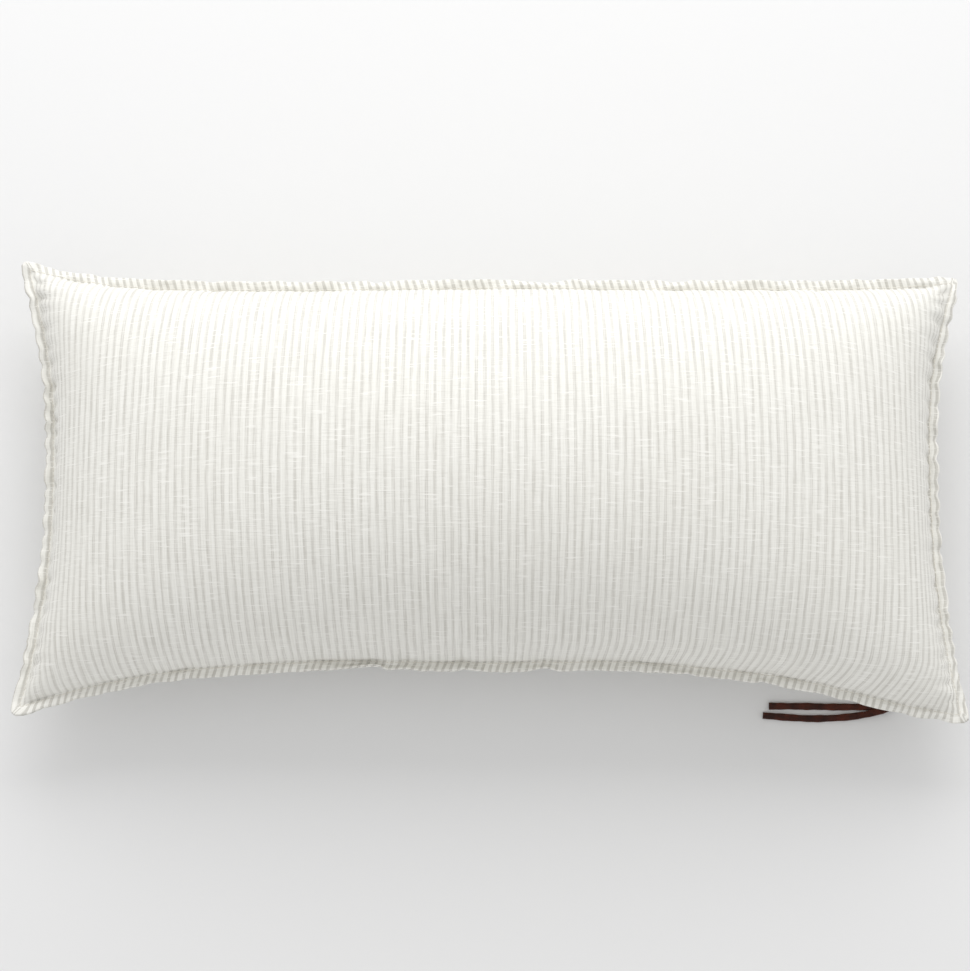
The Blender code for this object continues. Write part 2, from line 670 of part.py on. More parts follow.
def empty(name, parent, matrix):
    made = bpy.data.objects.new(name, None)
    bpy.context.scene.collection.objects.link(made)
    made.empty_display_size = 0.01
    made.matrix_world = matrix
    if parent is not None:
        made.parent = parent
        made.matrix_parent_inverse = parent.matrix_world.inverted()
    bpy.context.view_layer.update()
    return made


def build():
    for item in list(bpy.data.objects):
        bpy.data.objects.remove(item)
    linen = material("linen", (0.80, 0.79, 0.75), 0.85)
    case_cloth = material("insert_cotton", (0.88, 0.88, 0.86), 0.80)
    filling = material("filling", (0.93, 0.93, 0.92), 0.95)
    label_cloth = material("label_satin", (0.92, 0.92, 0.90), 0.45)
    tape_cloth = material("zip_tape", (0.78, 0.76, 0.70), 0.75)
    coil_plastic = material("zip_coil", (0.76, 0.74, 0.68), 0.40)
    stop_metal = material("zip_stop", (0.45, 0.36, 0.22), 0.35, 1.0)
    slider_metal = material("slider_brass", (0.42, 0.33, 0.19), 0.32, 1.0)
    leather = material("leather", (0.10, 0.035, 0.02), 0.55)
    thread = material("thread", (0.86, 0.85, 0.81), 0.70)

    root = empty("pillow", None, Matrix())
    cover(root, linen)
    insert(root, case_cloth, filling, label_cloth)
    zip_chain(root, tape_cloth, coil_plastic, stop_metal, thread)
    lift = SEAM_GAP / 2 + CLOTH + FIT_GAP
    flange_stitch(root, "flange_topstitch_front", lift, thread)
    flange_stitch(root, "flange_topstitch_back", -lift, thread)

    slider_frame = zip_matrix() @ Matrix.Translation((SLIDER_X, 0, 0))
    carriage = empty("slider", root, slider_frame)
    slider(carriage, slider_metal)
    tab_frame = tab_matrix(slider_frame)
    tab_pivot = empty("tab", carriage, tab_frame)
    pull_tab(tab_pivot, tab_frame, slider_metal)
    lace_frame = lace_matrix(tab_frame)
    lace_pivot = empty("lace", tab_pivot, lace_frame)
    lace_hitch(lace_pivot, lace_frame, leather)
    offset = LACE_THICKNESS / 2 + FIT_GAP / 2
    lace_tail("lace_tail_inner", TAIL_LOW_ROUTE, offset, lace_pivot, lace_frame, leather)
    lace_tail("lace_tail_outer", TAIL_HIGH_ROUTE, -offset, lace_pivot, lace_frame, leather)


build()
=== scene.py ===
"""Looks of the throw pillow: linen cover shaped by cloth simulation, flange, zip, puller and lace."""

import json
import math

import bpy
import numpy as np
from mathutils import Matrix, Vector


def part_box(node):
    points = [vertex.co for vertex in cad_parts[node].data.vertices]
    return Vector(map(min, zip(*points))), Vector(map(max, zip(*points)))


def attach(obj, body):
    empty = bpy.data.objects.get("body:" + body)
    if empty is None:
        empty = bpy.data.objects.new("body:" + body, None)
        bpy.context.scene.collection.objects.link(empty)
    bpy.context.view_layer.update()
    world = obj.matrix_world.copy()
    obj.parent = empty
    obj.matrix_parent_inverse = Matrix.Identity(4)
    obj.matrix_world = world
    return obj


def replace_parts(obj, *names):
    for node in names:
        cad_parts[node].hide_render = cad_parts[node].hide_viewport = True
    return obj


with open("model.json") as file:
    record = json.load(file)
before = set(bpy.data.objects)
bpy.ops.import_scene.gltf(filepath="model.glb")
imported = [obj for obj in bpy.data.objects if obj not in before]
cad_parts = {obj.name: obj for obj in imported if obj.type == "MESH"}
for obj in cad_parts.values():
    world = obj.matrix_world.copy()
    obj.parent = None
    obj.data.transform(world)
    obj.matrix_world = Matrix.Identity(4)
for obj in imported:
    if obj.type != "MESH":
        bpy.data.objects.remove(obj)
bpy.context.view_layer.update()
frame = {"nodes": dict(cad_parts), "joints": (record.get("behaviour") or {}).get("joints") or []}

rng = np.random.default_rng(11)

# Sizes, in metres. The cover's come from the CAD cover's own box.
LOW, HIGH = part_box("cover_front")
LENGTH = HIGH.x - LOW.x
WIDTH = HIGH.y - LOW.y
THICKNESS = HIGH.z
FLANGE = 0.007
CLOTH = 0.0010
SEAM_HEIGHT = 0.062
SEAM_DROP = 0.014
END_BOW = 0.020
ZIP_EDGE_BOW = 0.031
FAR_EDGE_BOW = 0.021
REST_WIDTH = 0.100
STITCH_X = LENGTH / 2 - FLANGE
STITCH_Y = WIDTH / 2 - FLANGE
ZIP_TILT = math.radians(45)
ZIP_BAND = 0.034
ZIP_HEIGHT = 0.022
ZIP_Y = -(STITCH_Y - ZIP_EDGE_BOW - 0.016)
ZIP_HALF = STITCH_X - END_BOW - 0.044
ZIP_OPENING = 0.010
STRIPE_PITCH = 0.0048
# Half sizes of the flat panels, between their stitch lines
PANEL_HALF_X, PANEL_HALF_Y = 0.2985, 0.1460


# ---------------- materials


class Nodes:
    """A material's node tree, built from short calls."""

    def __init__(self, name):
        self.material = bpy.data.materials.new(name)
        self.material.use_nodes = True
        self.tree = self.material.node_tree
        self.shader = self.tree.nodes["Principled BSDF"]

    def plug(self, socket, value):
        if isinstance(value, bpy.types.NodeSocket):
            self.tree.links.new(value, socket)
        elif isinstance(value, tuple) and len(value) == 3 and len(socket.default_value) == 4:
            socket.default_value = (*value, 1.0)
        else:
            socket.default_value = value

    def add(self, kind, inputs=(), **settings):
        node = self.tree.nodes.new(kind)
        for key, value in settings.items():
            setattr(node, key, value)
        for key, value in dict(inputs).items():
            self.plug(node.inputs[key], value)
        return node

    def math(self, operation, a, b=0.0, clamp=False):
        return self.add("ShaderNodeMath", {0: a, 1: b}, operation=operation, use_clamp=clamp).outputs[0]

    def times(self, a, b):
        return self.math("MULTIPLY", a, b)

    def plus(self, a, b, clamp=False):
        return self.math("ADD", a, b, clamp)

    def span(self, value, low, high, to_low=0.0, to_high=1.0):
        made = self.add("ShaderNodeMapRange", {0: value, 1: low, 2: high, 3: to_low, 4: to_high})
        made.interpolation_type = "SMOOTHSTEP"
        return made.outputs[0]

    def noise(self, at, scale, detail=2.0, roughness=0.5):
        """Noise with its own scale along each axis, in waves per metre."""
        scaled = self.add("ShaderNodeVectorMath", {0: at, 1: scale}, operation="MULTIPLY").outputs[0]
        inputs = {"Vector": scaled, "Scale": 1.0, "Detail": detail, "Roughness": roughness}
        return self.add("ShaderNodeTexNoise", inputs).outputs["Fac"]

    def mix(self, share, a, b):
        made = self.add("ShaderNodeMix", data_type="RGBA")
        for socket, value in ((0, share), (6, a), (7, b)):
            self.plug(made.inputs[socket], value)
        return made.outputs[2]

    def veil(self, colour, mask, low, high, strength, over):
        """Lays another colour over this one where the mask goes from low to high."""
        return self.mix(self.times(self.span(mask, low, high), strength), colour, over)

    def uv(self, name):
        return self.add("ShaderNodeUVMap", uv_map=name).outputs[0]

    def place(self):
        return self.add("ShaderNodeTexCoord").outputs["Object"]

    def parts(self, vector):
        return self.add("ShaderNodeSeparateXYZ", {0: vector}).outputs

    def bump(self, height, distance, strength):
        made = self.add("ShaderNodeBump", {"Height": height, "Distance": distance, "Strength": strength})
        self.plug(self.shader.inputs["Normal"], made.outputs[0])

    def finish(self, **values):
        for key, value in values.items():
            self.plug(self.shader.inputs[key.replace("_", " ")], value)
        return self.material


def linen(name):
    """Ticking stripe in linen and cotton. UV map "panel" holds the flat cloth's own place, in metres."""
    n = Nodes(name)
    at = n.uv("panel")
    x, y, _ = n.parts(at)
    wander = n.noise(at, (55.0, 9.0, 1.0), 1.0)
    warp = n.noise(at, (1900.0, 120.0, 1.0), roughness=0.6)
    streak = n.noise(at, (1500.0, 34.0, 1.0), roughness=0.55)
    weft = n.noise(at, (90.0, 1750.0, 1.0), roughness=0.55)
    slub = n.noise(at, (75.0, 900.0, 1.0), 0.0)
    patch = n.noise(at, (14.0, 11.0, 1.0), 3.0)
    drift = n.times(n.math("SUBTRACT", wander, 0.5), 0.32)
    turns = n.plus(n.math("DIVIDE", x, STRIPE_PITCH), drift)
    wave = n.math("SINE", n.times(turns, 2 * math.pi))
    rough_edge = n.times(n.math("SUBTRACT", warp, 0.5), 1.5)
    stripe = n.span(n.plus(wave, rough_edge), -0.25, 0.75)
    grey = n.mix(n.span(streak, 0.34, 0.66), (0.625, 0.610, 0.565), (0.775, 0.764, 0.720))
    ivory = n.mix(n.span(streak, 0.30, 0.70), (0.800, 0.790, 0.742), (0.870, 0.862, 0.818))
    # Painted shade: the stripes are mixed darker on the flange, standing in for the shadow in the crease
    # along it.
    past_x = n.math("GREATER_THAN", n.math("ABSOLUTE", x), PANEL_HALF_X)
    past_y = n.math("GREATER_THAN", n.math("ABSOLUTE", y), PANEL_HALF_Y)
    painted_flange_shade = n.math("MAXIMUM", past_x, past_y)
    grey = n.mix(n.times(painted_flange_shade, 0.36), grey, (0.430, 0.415, 0.370))
    colour = n.mix(stripe, ivory, grey)
    colour = n.veil(colour, weft, 0.50, 0.78, 0.36, (0.905, 0.895, 0.850))
    colour = n.veil(colour, slub, 0.64, 0.78, 0.60, (0.930, 0.920, 0.880))
    colour = n.veil(colour, weft, 0.46, 0.28, 0.30, (0.560, 0.545, 0.505))
    colour = n.veil(colour, patch, 0.35, 0.75, 0.05, (0.62, 0.58, 0.50))
    crosswise = n.plus(weft, n.times(slub, 0.6))
    n.bump(n.plus(n.times(warp, 0.8), crosswise), 0.00028, 0.55)
    return n.finish(
        Base_Color=colour,
        Roughness=n.span(weft, 0.3, 0.7, 0.92, 0.80),
        Sheen_Weight=0.18,
        Sheen_Roughness=0.45,
        Specular_IOR_Level=0.18,
    )


def cotton(name, light, dark, pitch):
    """A plain woven cloth of one colour."""
    n = Nodes(name)
    at = n.place()
    warp = n.noise(at, (0.9 / pitch, 0.12 / pitch, 0.5 / pitch))
    weft = n.noise(at, (0.12 / pitch, 0.9 / pitch, 0.5 / pitch))
    both = n.times(n.plus(warp, weft), 0.5)
    broad = n.noise(at, (25.0, 25.0, 25.0))
    colour = n.mix(n.span(both, 0.36, 0.62), dark, light)
    colour = n.veil(colour, broad, 0.4, 0.7, 0.10, dark)
    n.bump(both, 0.0002, 0.6)
    return n.finish(Base_Color=colour, Roughness=0.85, Sheen_Weight=0.1, Specular_IOR_Level=0.2)


def tape_weave(name, row_width=0.0017, rib_pitch=0.0009):
    """Herringbone tape. UV map "strip" runs along the tape and across it, in metres."""
    n = Nodes(name)
    at = n.uv("strip")
    x, y, _ = n.parts(at)
    slant = n.times(n.math("PINGPONG", y, row_width), 0.9)
    ribs = n.math("SINE", n.times(n.plus(x, slant), 2 * math.pi / rib_pitch))
    fibre = n.noise(at, (1600.0, 500.0, 1.0))
    height = n.plus(n.times(ribs, 0.5), n.times(fibre, 0.6))
    colour = n.mix(n.span(height, -0.4, 0.9), (0.50, 0.47, 0.40), (0.72, 0.69, 0.61))
    n.bump(height, 0.00015, 0.6)
    return n.finish(Base_Color=colour, Roughness=0.82, Sheen_Weight=0.1, Specular_IOR_Level=0.2)


def sewing_thread(name, light, dark):
    n = Nodes(name)
    at = n.place()
    twist = n.noise(at, (2600.0, 2600.0, 2600.0))
    broad = n.noise(at, (60.0, 60.0, 60.0), 1.0)
    colour = n.mix(n.span(twist, 0.35, 0.65), dark, light)
    colour = n.veil(colour, broad, 0.45, 0.7, 0.15, dark)
    n.bump(twist, 0.0001, 0.5)
    return n.finish(Base_Color=colour, Roughness=0.72, Sheen_Weight=0.15, Specular_IOR_Level=0.3)


def nylon(name):
    n = Nodes(name)
    haze = n.noise(n.place(), (300.0, 900.0, 900.0), 3.0)
    colour = n.mix(n.span(haze, 0.35, 0.65), (0.52, 0.49, 0.41), (0.68, 0.65, 0.57))
    n.bump(haze, 0.00006, 0.4)
    return n.finish(
        Base_Color=colour,
        Roughness=n.span(haze, 0.3, 0.7, 0.30, 0.48),
        Subsurface_Weight=0.05,
        Subsurface_Scale=0.001,
    )


def old_brass(name, bright, dark, rough):
    """Antique brass: darkened in the hollows, rubbed brighter on edges and high spots, finely scratched."""
    n = Nodes(name)
    at = n.place()
    stain = n.noise(at, (700.0, 700.0, 700.0), 5.0, 0.62)
    scratch = n.noise(at, (5200.0, 260.0, 2600.0), 3.0)
    worn = n.span(n.add("ShaderNodeNewGeometry").outputs["Pointiness"], 0.50, 0.58)
    cleaned = n.times(n.span(stain, 0.38, 0.66), 0.75)
    colour = n.mix(n.plus(cleaned, n.times(worn, 0.5), True), dark, bright)
    n.bump(n.plus(stain, n.times(scratch, 0.5)), 0.00005, 0.35)
    uneven = n.plus(stain, n.times(scratch, 0.4))
    return n.finish(
        Base_Color=colour, Metallic=1.0, Roughness=n.span(uneven, 0.45, 0.95, rough + 0.18, rough)
    )


def leather(name):
    """Brown lace: smooth grain side, paler fibrous cut edges. UV map "strap": along, across from -1 to 1."""
    n = Nodes(name)
    strap_uv = n.uv("strap")
    across = n.parts(strap_uv)[1]
    at = n.place()
    pores = n.add("ShaderNodeTexVoronoi", {"Vector": at, "Scale": 1900.0}, feature="DISTANCE_TO_EDGE")
    grain = n.span(pores.outputs[0], 0.0, 0.32)
    broad = n.noise(at, (130.0, 130.0, 130.0), 4.0, 0.6)
    fibre = n.noise(strap_uv, (900.0, 7.0, 1.0), 3.0)
    colour = n.mix(n.span(broad, 0.30, 0.70), (0.026, 0.0058, 0.0026), (0.100, 0.0200, 0.0085))
    colour = n.veil(colour, grain, 0.5, 0.0, 0.5, (0.018, 0.006, 0.004))
    raw = n.mix(n.span(fibre, 0.3, 0.7), (0.090, 0.028, 0.014), (0.160, 0.058, 0.030))
    colour = n.veil(colour, n.math("ABSOLUTE", across), 0.80, 0.97, 0.45, raw)
    n.bump(n.plus(n.times(grain, 0.6), n.times(fibre, 0.5)), 0.00012, 0.5)
    return n.finish(
        Base_Color=colour, Roughness=n.span(broad, 0.3, 0.7, 0.50, 0.66), Specular_IOR_Level=0.22
    )


def satin(name):
    n = Nodes(name)
    lines = n.noise(n.place(), (180.0, 3800.0, 3800.0))
    colour = n.mix(n.span(lines, 0.35, 0.65), (0.74, 0.73, 0.70), (0.88, 0.87, 0.85))
    n.bump(lines, 0.00005, 0.5)
    return n.finish(Base_Color=colour, Roughness=0.38, Sheen_Weight=0.2, Anisotropic=0.4)


def fibre_fill(name):
    n = Nodes(name)
    clump = n.noise(n.place(), (90.0, 90.0, 90.0), 6.0, 0.7)
    colour = n.mix(n.span(clump, 0.3, 0.7), (0.78, 0.78, 0.77), (0.93, 0.93, 0.92))
    n.bump(clump, 0.003, 0.8)
    return n.finish(Base_Color=colour, Roughness=0.95, Sheen_Weight=0.3)


LINEN = linen("linen")
THREAD = sewing_thread("thread", (0.86, 0.84, 0.78), (0.66, 0.63, 0.56))
TAPE = tape_weave("zip_tape")
COIL = nylon("zip_coil")
BRASS = old_brass("slider_brass", (0.55, 0.41, 0.20), (0.16, 0.11, 0.055), 0.30)
STOP = old_brass("zip_stop", (0.50, 0.39, 0.22), (0.22, 0.16, 0.09), 0.28)
LEATHER = leather("leather")
INSERT = cotton("insert_cotton", (0.90, 0.90, 0.88), (0.74, 0.74, 0.72), 0.0006)
SATIN = satin("label_satin")
FILL = fibre_fill("filling")


# ---------------- lines, grids and meshes


def mix(a, b, share):
    return a + (b - a) * share


def smooth(share):
    share = np.clip(share, 0, 1)
    return share * share * (3 - 2 * share)


def unit(vectors):
    return vectors / np.maximum(np.linalg.norm(vectors, axis=-1, keepdims=True), 1e-12)


def travelled(line):
    """How far along a line each of its points is."""
    return np.concatenate([[0], np.cumsum(np.linalg.norm(np.diff(line, axis=0), axis=1))])


def points_at(line, lengths, wanted):
    """The points of a line at the wanted lengths along it."""
    return np.stack([np.interp(wanted, lengths, line[:, k]) for k in range(3)], axis=-1)


def placed(name, data):
    item = bpy.data.objects.new(name, data)
    bpy.context.scene.collection.objects.link(item)
    return item


def new_mesh(name, points, faces):
    mesh = bpy.data.meshes.new(name)
    corners = [tuple(int(i) for i in face) for face in faces]
    mesh.from_pydata([tuple(p) for p in np.asarray(points, float)], [], corners)
    return mesh


def mesh_object(name, points, faces, material, body, uv=None, uv_name="panel"):
    """A mesh piece riding on a body. uv holds one pair for each point."""
    mesh = new_mesh(name, points, faces)
    mesh.update()
    if uv is not None:
        layer = mesh.uv_layers.new(name=uv_name)
        index = np.empty(len(mesh.loops), np.int32)
        mesh.loops.foreach_get("vertex_index", index)
        layer.data.foreach_set("uv", np.asarray(uv, np.float32)[index].ravel())
    mesh.polygons.foreach_set("use_smooth", [True] * len(mesh.polygons))
    mesh.materials.append(material)
    item = placed(name, mesh)
    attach(item, body)
    return item


def grid_faces(rows, columns, start=0, flip=False):
    a = (np.arange(rows - 1)[:, None] * columns + np.arange(columns - 1)[None, :]).ravel() + start
    quads = np.stack([a, a + columns, a + columns + 1, a + 1], axis=1)
    return quads[:, ::-1] if flip else quads


def tube_faces(count, around):
    """Quads and two end caps of a tube made of rings."""
    faces = []
    for k in range(count - 1):
        for t in range(around):
            a, b = k * around + t, k * around + (t + 1) % around
            faces.append((a, b, b + around, a + around))
    faces.append(tuple(range(around - 1, -1, -1)))
    faces.append(tuple(range((count - 1) * around, count * around)))
    return faces


def border_loop(rows, columns):
    """Numbers of a grid's border points, in order round it."""
    loop = [i * columns for i in range(rows)]
    loop += [(rows - 1) * columns + j for j in range(1, columns)]
    loop += [i * columns + columns - 1 for i in range(rows - 2, -1, -1)]
    loop += list(range(columns - 2, 0, -1))
    return np.array(loop)


def loop_corners(rows, columns):
    """Where the grid's four corners are in its border loop."""
    return [0, rows - 1, rows + columns - 2, 2 * rows + columns - 3]


def grid_normals(grid):
    """Unit normals of a grid of points, right-handed in (row, column)."""
    return unit(np.cross(np.gradient(grid, axis=0), np.gradient(grid, axis=1)))


def double_sheet(name, outer, inner, material, uv, flip=False, uv_name="panel"):
    """A closed sheet on the pillow, between two grids of the same shape. uv is a grid of pairs for both."""
    rows, columns = outer.shape[:2]
    count = rows * columns
    points = np.concatenate([outer.reshape(-1, 3), inner.reshape(-1, 3)])
    faces = [*grid_faces(rows, columns, 0, flip), *grid_faces(rows, columns, count, not flip)]
    loop = border_loop(rows, columns)
    after = np.roll(loop, -1)
    sides = np.stack([loop, loop + count, after + count, after], axis=1)
    faces += list(sides[:, ::-1] if flip else sides)
    pairs = np.tile(uv.reshape(-1, 2), (2, 1))
    return mesh_object(name, points, faces, material, "pillow", pairs, uv_name)


def finer(grid, axis):
    """Puts one point between each two along an axis, on a smooth curve through them."""
    g = np.moveaxis(grid, axis, 0)
    padded = np.concatenate([2 * g[:1] - g[1:2], g, 2 * g[-1:] - g[-2:-1]])
    middle = (9 * (padded[1:-2] + padded[2:-1]) - padded[:-3] - padded[3:]) / 16
    out = np.empty((2 * len(g) - 1, *g.shape[1:]))
    out[0::2] = g
    out[1::2] = middle
    return np.moveaxis(out, 0, axis)


def fine_sheet(grid):
    return finer(finer(grid, 0), 1)


def relaxed(grid, times):
    """Evens out a grid, leaving its border where it is."""
    g = grid.copy()
    for _ in range(times):
        inside = (g[:-2, 1:-1] + g[2:, 1:-1] + g[1:-1, :-2] + g[1:-1, 2:]) / 4
        g[1:-1, 1:-1] = (g[1:-1, 1:-1] + inside) / 2
    return g


def along_curve(points, wanted):
    """Points on a Catmull-Rom curve at the wanted places, where point k is at place k."""
    padded = np.concatenate([2 * points[:1] - points[1:2], points, 2 * points[-1:] - points[-2:-1]])
    k = np.clip(wanted.astype(int), 0, len(points) - 2)
    t = (wanted - k)[:, None]
    a, b, c, d = padded[k], padded[k + 1], padded[k + 2], padded[k + 3]
    return (b * 2 + (c - a) * t + (a * 2 - b * 5 + c * 4 - d) * t**2 + (b * 3 - a - c * 3 + d) * t**3) / 2


# ---------------- the cover's shape before simulation


def reach_x(v):
    return STITCH_X - END_BOW * (1 - np.abs(v) ** 2.5)


def reach_y(u, v):
    bow = np.where(v > 0, FAR_EDGE_BOW, ZIP_EDGE_BOW)
    return STITCH_Y - bow * (1 - np.abs(u) ** 3.5)


def seam_height(u):
    return SEAM_HEIGHT - SEAM_DROP * np.abs(u) ** 2.5


# From where on along the pillow, as a share of its half length, the back rises to the seam
NEAR_SEAM_RISES, BESIDE_ZIP_RISES, REST_RISES = 0.9, 0.81, 0.72


def back_profile(u):
    """The back's section at u, from the zip's edge to the far edge: points (y, z, where it rises)."""
    rim = float(seam_height(u))
    near, far = -float(reach_y(u, -1.0)), float(reach_y(u, 1.0))
    rest = REST_WIDTH / 2
    across = np.array([math.cos(ZIP_TILT), -math.sin(ZIP_TILT)])
    middle = np.array([ZIP_Y, ZIP_HEIGHT])
    outer_lip, inner_lip = middle - across * ZIP_BAND / 2, middle + across * ZIP_BAND / 2
    rows = [(near, rim, NEAR_SEAM_RISES)]
    rows.append((mix(near, outer_lip[0], 0.30), mix(rim, outer_lip[1], 0.60), NEAR_SEAM_RISES))
    for shift in (-ZIP_BAND / 2, -ZIP_OPENING / 2, ZIP_OPENING / 2, ZIP_BAND / 2):
        rows.append((*(middle + across * shift), NEAR_SEAM_RISES))
    rows.append((mix(inner_lip[0], -rest, 0.5), inner_lip[1] / 3, BESIDE_ZIP_RISES))
    rows += [(rest * share, 0.0, REST_RISES) for share in (-1.0, -0.33, 0.33, 1.0)]
    for turn in (math.radians(30), math.radians(62)):
        rows.append((mix(rest, far, math.sin(turn)), rim * (1 - math.cos(turn)), REST_RISES))
    rows.append((far, rim, NEAR_SEAM_RISES))
    return np.array(rows)


CELL = 0.0046
U = np.linspace(-1, 1, int(round(LENGTH / CELL)) + 1)
# Rows of the back: places on the profile, spaced by its own length, with rows on both lips of the zip.
ARC = travelled(back_profile(0.0)[:, :2])
BAND_START, LIP_NEAR, LIP_FAR, BAND_END = ARC[2:6]
NEAR_LIP_ROW = 8
REST_ROWS = int(round((ARC[-1] - LIP_FAR) / CELL))
PARTS = [(0.0, LIP_NEAR, NEAR_LIP_ROW), (LIP_NEAR, LIP_FAR, 2), (LIP_FAR, ARC[-1], REST_ROWS)]
ROW_ARC = np.concatenate([np.linspace(a, b, count + 1)[:-1] for a, b, count in PARTS] + [[ARC[-1]]])
ROW_PLACE = np.interp(ROW_ARC, ARC, np.arange(len(ARC)))
V = ROW_ARC / ARC[-1] * 2 - 1
GRID_U, GRID_V = np.meshgrid(U, V, indexing="ij")
# How far the flange's edge is from the middle of the pillow: the outline as the filling has left it.
NEAR_EDGE = ([-1, -0.85, -0.65, -0.35, 0, 0.25, 0.45, 0.65, 0.82, 0.93, 1],
             [0.144, 0.1313, 0.121, 0.1156, 0.1176, 0.1152, 0.1205, 0.1265, 0.1402, 0.1482, 0.1488])
FAR_EDGE = ([-1, -0.93, -0.82, -0.6, -0.3, 0, 0.3, 0.6, 0.82, 0.93, 1],
            [0.1445, 0.1385, 0.132, 0.1290, 0.1285, 0.1297, 0.129, 0.1300, 0.1305, 0.1345, 0.1358])
LEFT_EDGE = ([-1, -0.85, -0.7, -0.5, -0.3, 0, 0.3, 0.5, 0.75, 1],
             [0.2998, 0.297, 0.2914, 0.2857, 0.282, 0.2805, 0.281, 0.282, 0.2893, 0.2978])
RIGHT_EDGE = ([-1, -0.85, -0.65, -0.4, -0.2, 0, 0.25, 0.5, 0.65, 0.8, 0.93, 1],
              [0.300, 0.297, 0.2895, 0.2855, 0.283, 0.282, 0.282, 0.2838, 0.285, 0.2914, 0.2985, 0.2985])


def eased(line, times=60):
    """A line of numbers with its short waves taken out, and its ends kept."""
    out = line.copy()
    for _ in range(times):
        out[1:-1] = out[1:-1] * 0.5 + (out[:-2] + out[2:]) * 0.25
    return out


def outline_shift(front):
    """How far each border point of the cover has to move for the outline, without its short waves."""
    near = -(np.interp(U, *NEAR_EDGE) - FLANGE) - front[:, 0, 1]
    far = (np.interp(U, *FAR_EDGE) - FLANGE) - front[:, -1, 1]
    left = -(np.interp(V, *LEFT_EDGE) - FLANGE) - front[0, :, 0]
    right = (np.interp(V, *RIGHT_EDGE) - FLANGE) - front[-1, :, 0]
    return [eased(line) for line in (near, far, left, right)]


def onto_outline(grid, shift, felt):
    """Moves a face of the cover so that its border meets the outline. felt holds how far in, as shares of
    the half sizes, the move of the near, the far and the end sides is felt."""
    near, far, left, right = shift
    near_in, far_in, end_in = felt
    out = grid.copy()
    out[..., 1] += near[:, None] * smooth((-GRID_V - 1 + near_in) / near_in)
    out[..., 1] += far[:, None] * smooth((GRID_V - 1 + far_in) / far_in)
    out[..., 0] += left[None, :] * smooth((-GRID_U - 1 + end_in) / end_in)
    out[..., 0] += right[None, :] * smooth((GRID_U - 1 + end_in) / end_in)
    return out


def evenly_along(grid, axis, places):
    """Slides points along their own rows until the cloth between them is as long as in the flat panel."""
    g = np.moveaxis(grid, axis, 0)
    wanted = (places + 1) / 2
    out = np.empty_like(g)
    for k in range(g.shape[1]):
        lengths = travelled(g[:, k])
        out[:, k] = points_at(g[:, k], lengths / lengths[-1], wanted)
    return np.moveaxis(out, 0, axis)


def front_grid():
    u, v = GRID_U, GRID_V
    fullness = np.sqrt(np.maximum((1 - np.abs(u) ** 3.0) * (1 - np.abs(v) ** 2.1), 0))
    z = seam_height(u) + (THICKNESS - SEAM_HEIGHT) * fullness
    grid = np.stack([u * reach_x(v), v * reach_y(u, v), z], axis=2)
    grid = mix(grid, evenly_along(grid, 1, V), (1 - np.abs(u) ** 6)[..., None])
    return evenly_along(grid, 0, U)


def back_grid():
    out = []
    for u in U:
        row = along_curve(back_profile(u), ROW_PLACE)
        past = np.clip((abs(u) - row[:, 2]) / (1 - row[:, 2]), 0, 1)
        rise = 1 - np.sqrt(1 - past**2)
        y = mix(row[:, 0], V * reach_y(u, V), smooth(past))
        z = mix(np.maximum(row[:, 1], 0), seam_height(u), rise)
        out.append(np.stack([u * reach_x(V), y, z], axis=1))
    out = np.array(out)
    out[0, :, 1:] = np.stack([V * STITCH_Y, np.full(len(V), seam_height(1))], axis=1)
    out[-1, :, 1:] = out[0, :, 1:]
    return evenly_along(out, 0, U)


# ---------------- the cloth simulation

FLANGE_CELLS = 2
FLANGE_WAVES = 0.0011
LUMP_HEIGHT = 0.0005
PANELS_APART = 0.0012
# Shares of the pillow's half length in which the zip's band and the patch on the floor are held
BAND_HELD, REST_HELD = 0.86, 0.74
# How far in each face gives way to the outline: near side, far side, ends
FRONT_FELT = (1.2, 1.2, 0.5)
BACK_FELT = (1 + V[4], 0.5, 0.11)
CORNER_DRAWN_IN = 0.17
CLOTH_FRAMES = 26
CLOTH_SETTINGS = {
    "quality": 5,
    "mass": 0.0003,
    "tension_stiffness": 18,
    "compression_stiffness": 18,
    "shear_stiffness": 3,
    "bending_stiffness": 0.012,
    "tension_damping": 0.8,
    "compression_damping": 0.8,
    "shear_damping": 0.8,
    "bending_damping": 0.1,
    "air_damping": 1,
    "use_pressure": True,
    "uniform_pressure_force": 120,
    "vertex_group_pressure": "filled",
    "vertex_group_mass": "held",
    "pin_stiffness": 20,
}


def edge_waves(count):
    """A gentle unevenness round the flange, as heights along its loop."""
    t = np.arange(count) / count * 2 * math.pi
    total = np.zeros(count)
    for turns in (19, 31, 47, 66, 88, 117, 139):
        wave = np.sin(turns * t + rng.uniform(0, 2 * math.pi))
        total += math.sqrt(23 / turns) * wave * rng.uniform(0.5, 1.0)
    return total * FLANGE_WAVES


def edge_lumps():
    """Small lumps of the front near its border, as heights, from which the simulation's tucks start."""
    out = np.zeros(GRID_U.shape)
    for _ in range(5):
        a, b = rng.uniform(30, 90, 2)
        out += np.sin(a * GRID_U + rng.uniform(0, 6.28)) * np.sin(b * GRID_V + rng.uniform(0, 6.28))
    near_edge = 1 - np.minimum((1 - np.abs(GRID_U)) / 0.05, (1 - np.abs(GRID_V)) / 0.10)
    return out * LUMP_HEIGHT * np.clip(near_edge, 0, 1)


